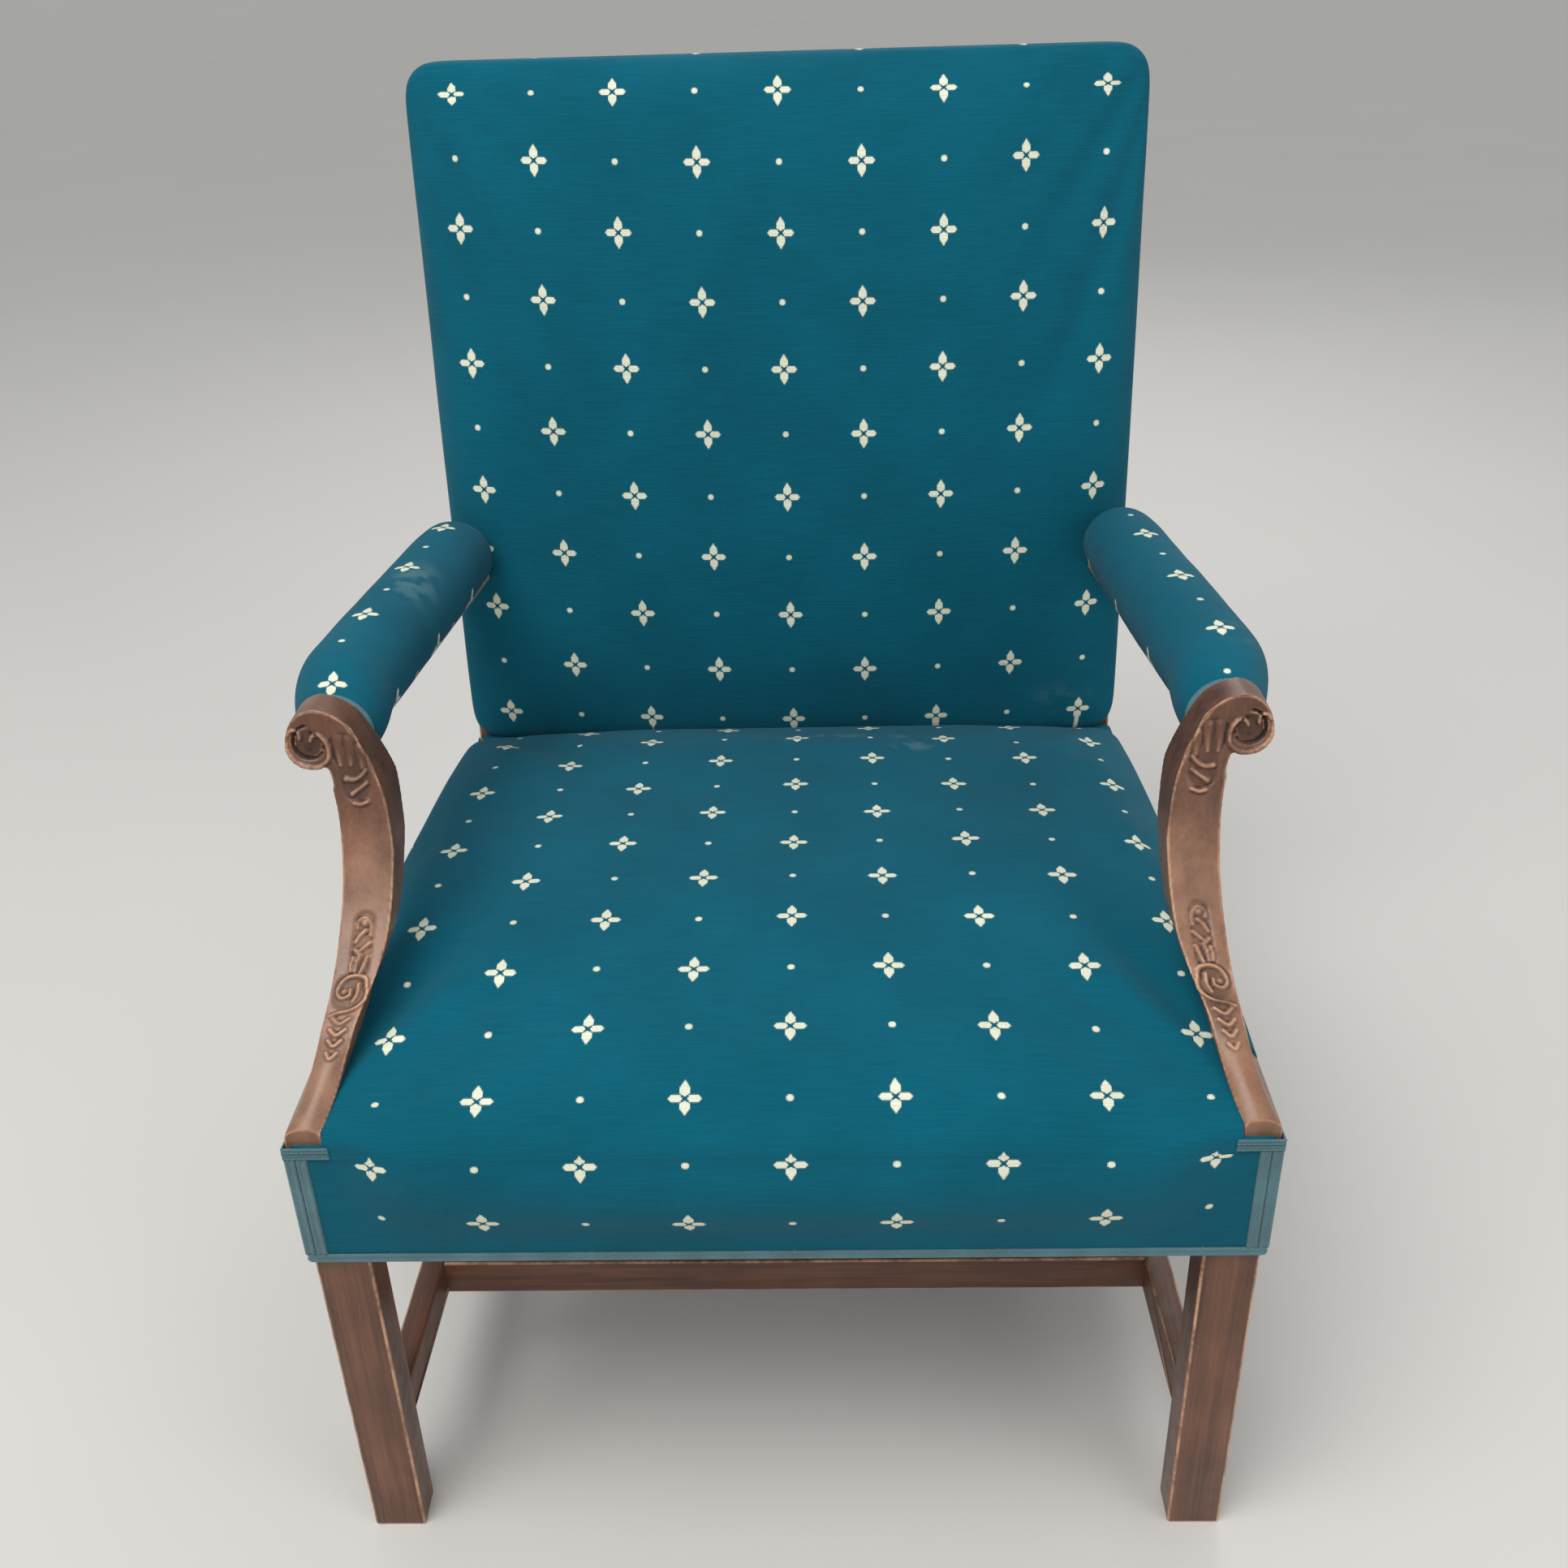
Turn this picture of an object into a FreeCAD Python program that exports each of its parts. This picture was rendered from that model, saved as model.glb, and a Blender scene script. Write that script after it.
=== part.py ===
import FreeCAD, Part
import math
import os

V = FreeCAD.Vector

# Open armchair with a square mahogany frame, stuffed-over seat and back, padded arms on
# swept supports that end in a volute.
# Millimetres. The floor is Z = 0, the front is -Y, the sitter's middle line is X = 0. The front
# faces of the front legs are drawn at Y = 0, and save() centres the chair over the origin.
# Each right-hand piece is drawn at +X and mirrored for the left.

# Seat frame
front_width = 666.0
rear_width = 640.0
seat_depth = 636.0          # front of the front legs to front of the back posts
rail_top = 372.0
rail_height = 76.0
rail_thick = 28.0
leg_size = 40.0
leg_chamfer = 9.0
leg_chamfer_stop = 12.0     # below the rails
rear_rail_set_back = 4.0

# Back posts
post_width = 40.0
post_depth = 38.0
post_top_depth = 28.0
post_foot_depth = 35.0
post_foot_set_back = 36.0
post_corner = 8.0           # cut off the post's outer corner under the cloth
frame_top = 986.0
back_rake = 60.0            # how far the post top leans back of the seat

# Joints between the wooden pieces
tenon_thick = 9.0
tenon_long = 20.0
tenon_shoulder = 8.0
haunch = 32.0               # bare height above the front tenons, under the arm support
mortise_relief = 1.0
overrun = 5.0

# Stretchers
stretcher_height = 34.0
stretcher_thick = 20.0
stretcher_bottom = 90.0
stretcher_inset = 4.0       # inner face of a side stretcher outside the leg's inner face
stretcher_tenon_thick = 10.0
cross_tenon_long = 12.0
rear_stretcher_tenon_long = 7.0     # stops short of the side stretcher's tenon
cross_set_back = 157.0

# Corner blocks and screws
block_reach = 64.0
block_height = 48.0
block_gap = 4.0             # clear of the leg's inner corner
screw_shank = 4.0
screw_head = 8.0
screw_length = 36.0
screw_head_height = 3.0
block_pocket = 14.0         # depth of timber left under a block screw's head
arm_screw_length = 52.0

# Cloth layers
web_width = 50.0
seat_web_count = 5          # straps each way
back_web_count = 4
web_thick = 1.2
hessian_thick = 1.0
cover = 3.0                 # cloth with its wadding
panel_thick = 2.0
gimp_width = 8.0
gimp_thick = 1.6
clear = 0.4                 # between soft pieces and what they lie against
edge_margin = 8.0           # webbing and hessian inside the frame's outer faces
skirt_drop = 5.0            # cover below the underside of the rails

# Seat stuffing
seat_pad_gap = 36.0         # from the end of the domed part to the posts
seat_crown = 78.0           # highest point above the rail tops
seat_side_drop = 5.0
seat_roll = 30.0
seat_bulge = 9.0
seat_bulge_shares = (0.0, 0.0, 0.0, 0.05, 0.35, 0.85, 1.0, 0.85, 0.45, 0.0)
seat_tuck_height = 15.0     # the low part that passes under the back, above the rail tops
roll_share = 0.6
# along the depth, and height of the crown there
seat_depth_shares = (0.0, 0.012, 0.045, 0.11, 0.2, 0.33, 0.48, 0.65, 0.82, 1.0)
seat_crown_shares = (0.36, 0.54, 0.69, 0.82, 0.93, 0.995, 0.96, 0.83, 0.69, 0.56)

# Back stuffing
back_gap = 2.0              # bottom of the back above the tuck of the seat
back_over_frame = 14.0
back_corner = 22.0          # rounding of the top corners, seen from the front
back_crown = 50.0           # thickest stuffing in front of the frame
back_side_roll = 30.0
back_edge_share = 0.72      # thickness at the side roll, of that on the middle line
lower_rail_rise = 30.0      # above the seat rails
back_rail_height = 50.0
back_rail_thick = 24.0
# along the height, and thickness of the stuffing there
back_height_shares = (0.0, 0.025, 0.12, 0.32, 0.55, 0.8)
back_crown_shares = (0.4, 0.58, 0.76, 0.95, 1.0, 0.86)
# turns of the top roll, in degrees, and thickness of the stuffing there
back_roll_turns = (0.0, 35.0, 65.0, 90.0)
back_roll_shares = (0.64, 0.5, 0.3, 0.1)

# Arms
arm_front = 212.0           # where the pad meets the support's collar
arm_front_inset = 4.0       # its axis inside the outer face of the front legs
arm_front_rise = 229.0      # its axis above the seat rails
arm_rear_inset = 20.0
arm_rear_rise = 207.0
arm_rear_gap = 21.0         # from the end of the pad to the posts' front faces at the seat
pad_radius = 29.5
pad_rear_radius = 26.5
pad_flat_share = 0.88       # depth of the pad's flat underside below its axis, of its radius
arm_rail_drop_share = 0.9   # depth of the arm rail's underside, of the same radius
arm_cover = 2.5
arm_rail_width = 30.0
arm_rail_thick = 25.0
arm_rail_rear_width = 28.0
arm_tenon_width = 16.0
arm_tenon_thick = 12.0
arm_tenon_long = 16.0
collar_radius = 23.0
collar_thick = 15.0
# along the pad, and its radius there
pad_length_shares = (0.0, 0.04, 0.5, 0.93, 0.98, 1.0)
pad_swell_shares = (0.88, 1.0, 1.02, 0.98, 0.86, 0.68)

# Arm supports, sawn to two outlines: one seen from the side, one from the front
support_foot_width = 24.0
support_foot_long = 70.0
support_foot_rise = 25.0    # above the rails, where the wood leaves the cover
support_lip = 13.0          # plain collar of the foot above the cover
support_sweep_gap = 34.0    # end of the front edge's sweep, ahead of the pad
support_head_rise = 32.0    # above the arm's axis
support_head_depth = 28.0
support_shoulder_drop = 29.0
support_waist_inset = 38.5
support_waist_rise = 163.0
support_waist_width = 31.0
support_tenon_width = 12.0
support_tenon_long = 30.0
support_tenon_deep = 26.0
volute_inset = 2.0
volute_rise = 7.0
volute_radius = 17.0
volute_turns = 1.75
volute_groove = 2.2
volute_depth = 2.6
volute_eye = 3.4
volute_taper_share = 0.4    # how much narrower the groove is at the eye
collar_inset_share = 0.1    # of the collar's radius, towards the sitter
# points of the head seen from the front, from the volute's centre, as shares of its radius
neck_shares = (-1.76, 0.61)
brow_shares = (-1.15, 1.18)
crown_share = -0.26
shoulder_shares = (0.66, 1.0)
outer_shares = (1.0, 0.1)
cheek_shares = (0.72, -0.7)
throat_shares = (-0.6, -1.03)
# middles of the edges below and above the waist, as shares of the way from the waist
low_edge_shares = (0.3, 0.24)
high_edge_share = 0.33
# points of the front edge and the rear edge between foot and head, as shares of the way
# back and of the way up
front_edge_shares = ((0.355, 0.2), (0.81, 0.57))
rear_edge_share = (0.56, 0.46)

# Worked out from the above
front_half = front_width / 2
rear_half = rear_width / 2
rail_bottom = rail_top - rail_height
seat_pad_depth = seat_depth - seat_pad_gap
back_bottom = rail_top + seat_tuck_height + cover + back_gap
back_top = frame_top + back_over_frame
lower_rail_bottom = rail_top + lower_rail_rise
arm_front_x = front_half - arm_front_inset
arm_front_z = rail_top + arm_front_rise
arm_rear = seat_depth - arm_rear_gap
arm_rear_x = rear_half - arm_rear_inset
arm_rear_z = rail_top + arm_rear_rise
support_foot_top = rail_top + support_foot_rise
support_sweep = arm_front - support_sweep_gap
support_head_top = arm_front_z + support_head_rise
support_head_front = arm_front - support_head_depth
support_arm_shoulder = arm_front_z - support_shoulder_drop
support_waist_x = front_half - support_waist_inset
support_waist_z = rail_top + support_waist_rise
volute_x = front_half - volute_inset
volute_z = arm_front_z + volute_rise
side_slope = (front_half - rear_half) / seat_depth
base_layers = 2 * web_thick + hessian_thick
post_front_slope = back_rake / (frame_top - rail_top)
post_rear_slope = (back_rake + post_top_depth - post_depth) / (frame_top - rail_top)
rear_rail_front = seat_depth + rear_rail_set_back
rear_rail_back = rear_rail_front + rail_thick
skirt_bottom = rail_bottom - skirt_drop


def side_x(y, inward=0.0):
    """Outer face of the seat frame's side at depth y, less an inward distance."""
    return front_half - side_slope * y - inward


def post_front(z):
    """Depth of the back post's front face above the seat."""
    return seat_depth + post_front_slope * (z - rail_top)


def post_rear(z):
    """Depth of the back post's rear face above the seat."""
    return seat_depth + post_depth + post_rear_slope * (z - rail_top)


def polygon(points):
    return Part.Face(Part.makePolygon(list(points) + [points[0]]))


def prism_x(points, x0, x1):
    """Outline of (y, z) points drawn out from x0 to x1."""
    return polygon([V(x0, y, z) for y, z in points]).extrude(V(x1 - x0, 0, 0))


def prism_y(points, y0, y1):
    """Outline of (x, z) points drawn out from y0 to y1."""
    return polygon([V(x, y0, z) for x, z in points]).extrude(V(0, y1 - y0, 0))


def prism_z(points, z0, z1):
    """Outline of (x, y) points drawn up from z0 to z1."""
    return polygon([V(x, y, z0) for x, y in points]).extrude(V(0, 0, z1 - z0))


def block(x0, x1, y0, y1, z0, z1):
    return Part.makeBox(x1 - x0, y1 - y0, z1 - z0, V(x0, y0, z0))


def arc(a, m, b):
    return Part.Arc(a, m, b).toShape()


def line(a, b):
    return Part.LineSegment(a, b).toShape()


def mirrored(shape):
    return shape.mirror(V(0, 0, 0), V(1, 0, 0))


def both(shape):
    return [shape, mirrored(shape)]


def middle_depth():
    """Half way from the gimp in front to the rearmost cloth at the top of the back."""
    rearmost = post_rear(back_top + cover) + panel_thick
    return (rearmost - cover - gimp_thick) / 2


def save(name, *shapes):
    whole = shapes[0].copy() if len(shapes) == 1 else Part.makeCompound(list(shapes))
    whole.translate(V(0, -middle_depth(), 0))
    whole.exportStep("parts/" + name + ".step")
    print(name, len(whole.Solids), "solids", "valid" if whole.isValid() else "NOT VALID")


def save_pair(name, right):
    save(name + "_right", right)
    save(name + "_left", mirrored(right))


def screw(length):
    """Cheese-headed screw on the Z axis, its head's flat at Z = 0 and its point downwards."""
    shank = Part.makeCylinder(screw_shank / 2, length, V(0, 0, -length))
    head = Part.makeCylinder(screw_head / 2, screw_head_height, V(0, 0, -screw_head_height))
    return shank.fuse(head).removeSplitter()


def placed(shape, at, towards):
    """The shape with its Z axis turned to a direction and its origin moved to a place."""
    copy = shape.copy()
    copy.Placement = FreeCAD.Placement(at, FreeCAD.Rotation(V(0, 0, 1), towards))
    return copy


# Seat rails, drawn on the right-hand side where they come in pairs

def side_strip(y0, y1, inset, thick, z0, z1):
    """A bar that runs along the side of the seat frame."""
    return prism_z([(side_x(y0, inset), y0), (side_x(y1, inset), y1),
                    (side_x(y1, inset + thick), y1), (side_x(y0, inset + thick), y0)], z0, z1)


tenon_inset = (rail_thick - tenon_thick) / 2
front_tenon_z = (rail_bottom + tenon_shoulder, rail_top - haunch)
rear_tenon_z = (rail_bottom + tenon_shoulder, rail_top - tenon_shoulder)


def side_rail_tenons(relief=0.0):
    front = side_strip(leg_size - tenon_long - relief, leg_size, tenon_inset, tenon_thick,
                       *front_tenon_z)
    rear = side_strip(seat_depth, seat_depth + tenon_long + relief, tenon_inset, tenon_thick,
                      *rear_tenon_z)
    return front, rear


def side_rail():
    body = side_strip(leg_size, seat_depth, 0.0, rail_thick, rail_bottom, rail_top)
    body = body.fuse(list(side_rail_tenons())).removeSplitter()
    return body.cut([block_screws(front)[1] for front in (True, False)])


front_rail_half = front_half - leg_size
rear_rail_half = rear_half - post_width
rear_tenon_long = tenon_long - overrun


def front_rail_tenon(relief=0.0):
    return block(front_rail_half, front_rail_half + tenon_long + relief, tenon_inset,
                 tenon_inset + tenon_thick, *front_tenon_z)


def rear_rail_tenon(relief=0.0):
    y0 = rear_rail_front + tenon_inset
    return block(rear_rail_half, rear_rail_half + rear_tenon_long + relief, y0,
                 y0 + tenon_thick, *rear_tenon_z)


def front_rail():
    body = block(-front_rail_half, front_rail_half, 0, rail_thick, rail_bottom, rail_top)
    body = body.fuse(both(front_rail_tenon())).removeSplitter()
    return body.cut(both(block_screws(True)[0]))


def rear_rail():
    body = block(-rear_rail_half, rear_rail_half, rear_rail_front, rear_rail_back,
                 rail_bottom, rail_top)
    body = body.fuse(both(rear_rail_tenon())).removeSplitter()
    return body.cut(both(block_screws(False)[0]))


# Stretchers

stretcher_top = stretcher_bottom + stretcher_height
stretcher_side_inset = leg_size - stretcher_inset - stretcher_thick
stretcher_tenon_inset = (stretcher_thick - stretcher_tenon_thick) / 2
stretcher_tenon_z = (stretcher_bottom + stretcher_tenon_inset,
                     stretcher_top - stretcher_tenon_inset)


def leg_front(z):
    """Depth of the back post's front face below the seat, where it rakes to the foot."""
    return seat_depth + post_foot_set_back * (rail_bottom - z) / rail_bottom


def leg_rear(z):
    foot = seat_depth + post_foot_set_back + post_foot_depth
    share = (rail_bottom - z) / rail_bottom
    return seat_depth + post_depth + (foot - seat_depth - post_depth) * share


def below_seat_post_side(z0, z1, reach):
    """Region in front of the raked rear leg, as a prism across the chair."""
    return prism_x([(0, z0), (leg_front(z0) + reach, z0), (leg_front(z1) + reach, z1), (0, z1)],
                   -rear_width - front_width, rear_width + front_width)


def side_stretcher_tenons(relief=0.0):
    inset = stretcher_side_inset + stretcher_tenon_inset
    front = side_strip(leg_size - tenon_long - relief, leg_size, inset, stretcher_tenon_thick,
                       *stretcher_tenon_z)
    rear = side_strip(seat_depth, seat_depth + post_foot_set_back + post_foot_depth, inset,
                      stretcher_tenon_thick, *stretcher_tenon_z)
    reach = below_seat_post_side(stretcher_bottom, stretcher_top, tenon_long + relief)
    return front, rear.common(reach)


def cross_tenon(relief=0.0):
    y0 = cross_set_back + stretcher_tenon_inset
    x0 = side_x(cross_set_back, stretcher_side_inset + stretcher_thick) - overrun
    x1 = x0 + overrun + cross_tenon_long + relief
    return block(x0, x1, y0, y0 + stretcher_tenon_thick, *stretcher_tenon_z)


def side_stretcher():
    body = side_strip(leg_size, seat_depth + post_foot_set_back, stretcher_side_inset,
                      stretcher_thick, stretcher_bottom, stretcher_top)
    body = body.common(below_seat_post_side(stretcher_bottom, stretcher_top, 0.0))
    body = body.fuse(list(side_stretcher_tenons())).removeSplitter()
    return body.cut(cross_tenon(mortise_relief))


def cross_stretcher():
    inset = stretcher_side_inset + stretcher_thick
    y1 = cross_set_back + stretcher_thick
    half = [(side_x(cross_set_back, inset), cross_set_back), (side_x(y1, inset), y1)]
    other = [(-x, y) for x, y in reversed(half)]
    body = prism_z(half + other, stretcher_bottom, stretcher_top)
    return body.fuse(both(cross_tenon())).removeSplitter()


def rear_stretcher_y():
    middle = (stretcher_bottom + stretcher_top) / 2
    return (leg_front(middle) + leg_rear(middle) - stretcher_thick) / 2


def rear_stretcher_tenon(relief=0.0):
    y0 = rear_stretcher_y() + stretcher_tenon_inset
    return block(rear_rail_half, rear_rail_half + rear_stretcher_tenon_long + relief, y0,
                 y0 + stretcher_tenon_thick, *stretcher_tenon_z)


def rear_stretcher():
    y0 = rear_stretcher_y()
    body = block(-rear_rail_half, rear_rail_half, y0, y0 + stretcher_thick, stretcher_bottom,
                 stretcher_top)
    return body.fuse(both(rear_stretcher_tenon())).removeSplitter()


# Back frame

def back_bar(z0, z1, front, rear, x0, x1):
    """A bar across the raked back, its faces measured back from the posts' front faces."""
    return prism_x([(post_front(z0) + front, z0), (post_front(z0) + rear, z0),
                    (post_front(z1) + rear, z1), (post_front(z1) + front, z1)], x0, x1)


def back_rail_tenon(z0, z1, relief=0.0):
    inset = (back_rail_thick - tenon_thick) / 2
    return back_bar(z0 + tenon_shoulder, z1 - tenon_shoulder, inset, inset + tenon_thick,
                    rear_rail_half, rear_rail_half + tenon_long + relief)


def back_rail(z0, z1):
    body = back_bar(z0, z1, 0.0, back_rail_thick, -rear_rail_half, rear_rail_half)
    return body.fuse(both(back_rail_tenon(z0, z1))).removeSplitter()


top_rail_z = (frame_top - back_rail_height, frame_top)
lower_rail_z = (lower_rail_bottom, lower_rail_bottom + back_rail_height)

# Arm rail, from the support's collar to the front face of the back post

def arm_axis(y):
    """Middle of the arm pad at depth y, as x and z."""
    share = (y - arm_front) / (arm_rear - arm_front)
    return (arm_front_x + (arm_rear_x - arm_front_x) * share,
            arm_front_z + (arm_rear_z - arm_front_z) * share)


def rail_axis_z(y):
    share = (y - arm_front) / (arm_rear - arm_front)
    radius = pad_radius + (pad_rear_radius - pad_radius) * share
    return arm_axis(y)[1] - arm_rail_drop_share * radius + arm_rail_thick / 2


def arm_section(y, width, thick):
    x = arm_axis(y)[0]
    z = rail_axis_z(y)
    return Part.makePolygon([V(x - width / 2, y, z - thick / 2), V(x + width / 2, y, z - thick / 2),
                             V(x + width / 2, y, z + thick / 2), V(x - width / 2, y, z + thick / 2),
                             V(x - width / 2, y, z - thick / 2)])


post_reach = seat_depth + post_depth + back_rake


def arm_bar(y0, y1, width0, width1, thick):
    return Part.makeLoft([arm_section(y0, width0, thick), arm_section(y1, width1, thick)],
                         True, True)


def rail_bar(y0, y1, margin=0.0):
    """The arm rail's own taper between two depths, larger all round by a margin."""
    widths = []
    for y in (y0, y1):
        share = (y - arm_front) / (post_reach - arm_front)
        widths.append(arm_rail_width + (arm_rail_rear_width - arm_rail_width) * share + 2 * margin)
    return arm_bar(y0, y1, widths[0], widths[1], arm_rail_thick + 2 * margin)


def ahead_of_post(reach):
    """Region ahead of a plane that lies a distance behind the posts' front faces."""
    return prism_x([(0, rail_top), (post_front(rail_top) + reach, rail_top),
                    (post_front(frame_top) + reach, frame_top), (0, frame_top)], 0, front_width)


def arm_tenons(relief=0.0):
    front = arm_bar(arm_front - arm_tenon_long - relief, arm_front, arm_tenon_width,
                    arm_tenon_width, arm_tenon_thick)
    rear = arm_bar(arm_rear, post_reach, arm_tenon_width, arm_tenon_width, arm_tenon_thick)
    return front, rear.common(ahead_of_post(arm_tenon_long + relief))


def arm_rail():
    body = rail_bar(arm_front, post_reach).common(ahead_of_post(0.0))
    body = body.fuse(list(arm_tenons())).removeSplitter()
    return body.cut(arm_screw())


def arm_screw():
    """Screw through the back post into the end of the arm rail."""
    z = rail_axis_z(post_front(arm_rear_z))
    x = arm_axis(post_front(z))[0]
    return placed(screw(arm_screw_length), V(x, post_rear(z) - screw_head_height, z), V(0, 1, 0))


# Arm support: a side outline and a front outline, drawn through each other

def support_side(grow):
    """Seen from the side: foot, front edge swept back to the head, rear edge."""
    z0 = rail_top
    lip = support_foot_top + support_lip
    sweep = support_sweep
    rise = volute_z - lip
    foot_end = support_foot_long + grow
    a = V(0, -grow, lip)
    b = V(0, sweep * front_edge_shares[0][0] - grow, lip + rise * front_edge_shares[0][1] + grow)
    c = V(0, sweep * front_edge_shares[1][0] - grow, lip + rise * front_edge_shares[1][1] + grow)
    d = V(0, support_head_front - grow, support_head_top + grow)
    e = V(0, arm_front, support_head_top + grow)
    f = V(0, arm_front, support_arm_shoulder - grow)
    run = arm_front - foot_end
    lift = support_arm_shoulder - support_foot_top
    g = V(0, foot_end + run * rear_edge_share[0] + grow,
          support_foot_top + lift * rear_edge_share[1] - grow)
    h = V(0, foot_end, support_foot_top)
    edges = [line(V(0, -grow, z0), a), line(a, b), arc(b, c, d), line(d, e), line(e, f),
             arc(f, g, h), line(h, V(0, foot_end, z0)), line(V(0, foot_end, z0), V(0, -grow, z0))]
    face = Part.Face(Part.Wire(edges))
    face.translate(V(support_waist_x - support_waist_width, 0, 0))
    reach = 2 * volute_radius + front_half - support_waist_x + support_waist_width
    return face.extrude(V(reach, 0, 0))


def support_front(grow):
    """Seen from the front: foot on the corner, waist set in, head curled out to the volute."""
    z0 = rail_top
    lip = support_foot_top + support_lip
    foot_in = front_half - support_foot_width - grow
    foot_out = front_half + grow
    waist_in = support_waist_x - support_waist_width / 2 - grow
    waist_out = support_waist_x + support_waist_width / 2 + grow
    half_up = (lip + support_waist_z) / 2
    r = volute_radius
    p = lambda x, z: V(x, 0, z)
    waist_a = p(waist_in, support_waist_z)
    waist_b = p(waist_out, support_waist_z)
    crown = p(volute_x + crown_share * r, support_head_top)
    under = p(volute_x, volute_z - r)
    neck, brow, shoulder, outer, cheek, throat = [
        p(volute_x + across * r, volute_z + up * r)
        for across, up in (neck_shares, brow_shares, shoulder_shares, outer_shares,
                           cheek_shares, throat_shares)]
    low_in = p(waist_in + (foot_in - waist_in) * low_edge_shares[0], half_up)
    low_out = p(waist_out + (foot_out - waist_out) * low_edge_shares[1], half_up)
    high_in = p(waist_in + (neck.x - waist_in) * high_edge_share, (support_waist_z + neck.z) / 2)
    high_out = p(waist_out + (throat.x - waist_out) * high_edge_share,
                 (support_waist_z + throat.z) / 2)
    edges = [
        line(p(foot_in, z0), p(foot_in, lip)),
        arc(p(foot_in, lip), low_in, waist_a),
        arc(waist_a, high_in, neck),
        arc(neck, brow, crown),
        arc(crown, shoulder, outer),
        arc(outer, cheek, under),
        line(under, throat),
        arc(throat, high_out, waist_b),
        arc(waist_b, low_out, p(foot_out, lip)),
        line(p(foot_out, lip), p(foot_out, z0)),
        line(p(foot_out, z0), p(foot_in, z0)),
    ]
    face = Part.Face(Part.Wire(edges))
    face.translate(V(0, -overrun, 0))
    return face.extrude(V(0, arm_front + 2 * overrun, 0))


def support_form(grow=0.0):
    return support_side(grow).common(support_front(grow))


def volute_spiral():
    """Groove that winds in to the eye of the volute, as quarter turns of falling radius."""
    centre = V(volute_x, 0, volute_z)
    quarters = int(volute_turns * 4)
    fall = (volute_radius - volute_groove - volute_eye) / quarters
    outer, inner = [], []
    for k in range(2 * quarters + 1):
        angle = math.pi / 2 - k * math.pi / 4
        r = volute_radius - volute_groove - fall * k / 2
        away = V(math.cos(angle), 0, math.sin(angle))
        width = volute_groove * (1 - volute_taper_share * k / (2 * quarters))
        outer.append(centre + away * r)
        inner.append(centre + away * (r - width))
    edges = [arc(outer[k], outer[k + 1], outer[k + 2]) for k in range(0, 2 * quarters, 2)]
    edges.append(line(outer[-1], inner[-1]))
    edges += [arc(inner[k], inner[k - 1], inner[k - 2]) for k in range(2 * quarters, 0, -2)]
    edges.append(line(inner[0], outer[0]))
    return Part.Face(Part.Wire(edges)).extrude(V(0, arm_front, 0))


def support_tenon_box(relief=0.0):
    x = front_half - support_foot_width / 2
    y = leg_size / 2
    return block(x - support_tenon_width / 2, x + support_tenon_width / 2,
                 y - support_tenon_long / 2, y + support_tenon_long / 2,
                 rail_top - support_tenon_deep - relief, rail_top)


def pad_wire(y, radius, centre):
    """Round section of an arm with its underside cut flat."""
    x, z = centre
    flat = radius * pad_flat_share
    half = math.sqrt(radius ** 2 - flat ** 2)
    left = V(x - half, y, z - flat)
    right = V(x + half, y, z - flat)
    top = V(x, y, z + radius)
    return Part.Wire([line(left, right), arc(right, V(x + radius, y, z), top),
                      arc(top, V(x - radius, y, z), left)])


def arm_support():
    form = support_form()
    set_back = form.copy()
    set_back.translate(V(0, volute_depth, 0))
    groove = volute_spiral().common(form).cut(set_back)
    centre = (arm_front_x - collar_radius * collar_inset_share, arm_front_z)
    collar = Part.Face(pad_wire(arm_front - collar_thick, collar_radius, centre))
    collar = collar.extrude(V(0, collar_thick, 0))
    whole = form.fuse([collar, support_tenon_box()]).cut(groove).removeSplitter()
    return whole.cut(arm_tenons(mortise_relief)[0])


# Legs and posts, cut for everything that enters them

def leg_blank():
    return block(front_half - leg_size, front_half, 0, leg_size, 0, rail_top)


def front_leg():
    x0 = front_half - leg_size
    chamfer = prism_z([(x0 - overrun, leg_size - leg_chamfer - overrun),
                       (x0 - overrun, leg_size + overrun),
                       (x0 + leg_chamfer + overrun, leg_size + overrun)],
                      -overrun, rail_bottom - leg_chamfer_stop)
    leg = leg_blank().cut(chamfer)
    tools = [front_rail_tenon(mortise_relief), side_rail_tenons(mortise_relief)[0],
             side_stretcher_tenons(mortise_relief)[0], support_tenon_box(mortise_relief)]
    return leg.cut(tools)


def post_blank():
    """The post before its mortises, with the corner off its outer top edge."""
    foot = seat_depth + post_foot_set_back
    outline = [(foot, 0), (seat_depth, rail_bottom), (seat_depth, rail_top),
               (post_front(frame_top), frame_top), (post_rear(frame_top), frame_top),
               (post_rear(rail_top), rail_top), (seat_depth + post_depth, rail_bottom),
               (foot + post_foot_depth, 0)]
    post = prism_x(outline, rear_rail_half, rear_half)
    corner = prism_y([(rear_half - post_corner, frame_top), (rear_half + overrun, frame_top),
                      (rear_half + overrun, frame_top - post_corner - overrun)],
                     seat_depth, 2 * seat_depth)
    return post.cut(corner)


def back_post():
    tools = [rear_rail_tenon(mortise_relief), side_rail_tenons(mortise_relief)[1],
             side_stretcher_tenons(mortise_relief)[1], rear_stretcher_tenon(mortise_relief),
             back_rail_tenon(*top_rail_z, mortise_relief),
             back_rail_tenon(*lower_rail_z, mortise_relief),
             arm_tenons(mortise_relief)[1], arm_screw()]
    return post_blank().cut(tools)


# Corner blocks, with a screw into each rail

block_bottom = rail_bottom + (rail_height - block_height) / 2


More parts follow.
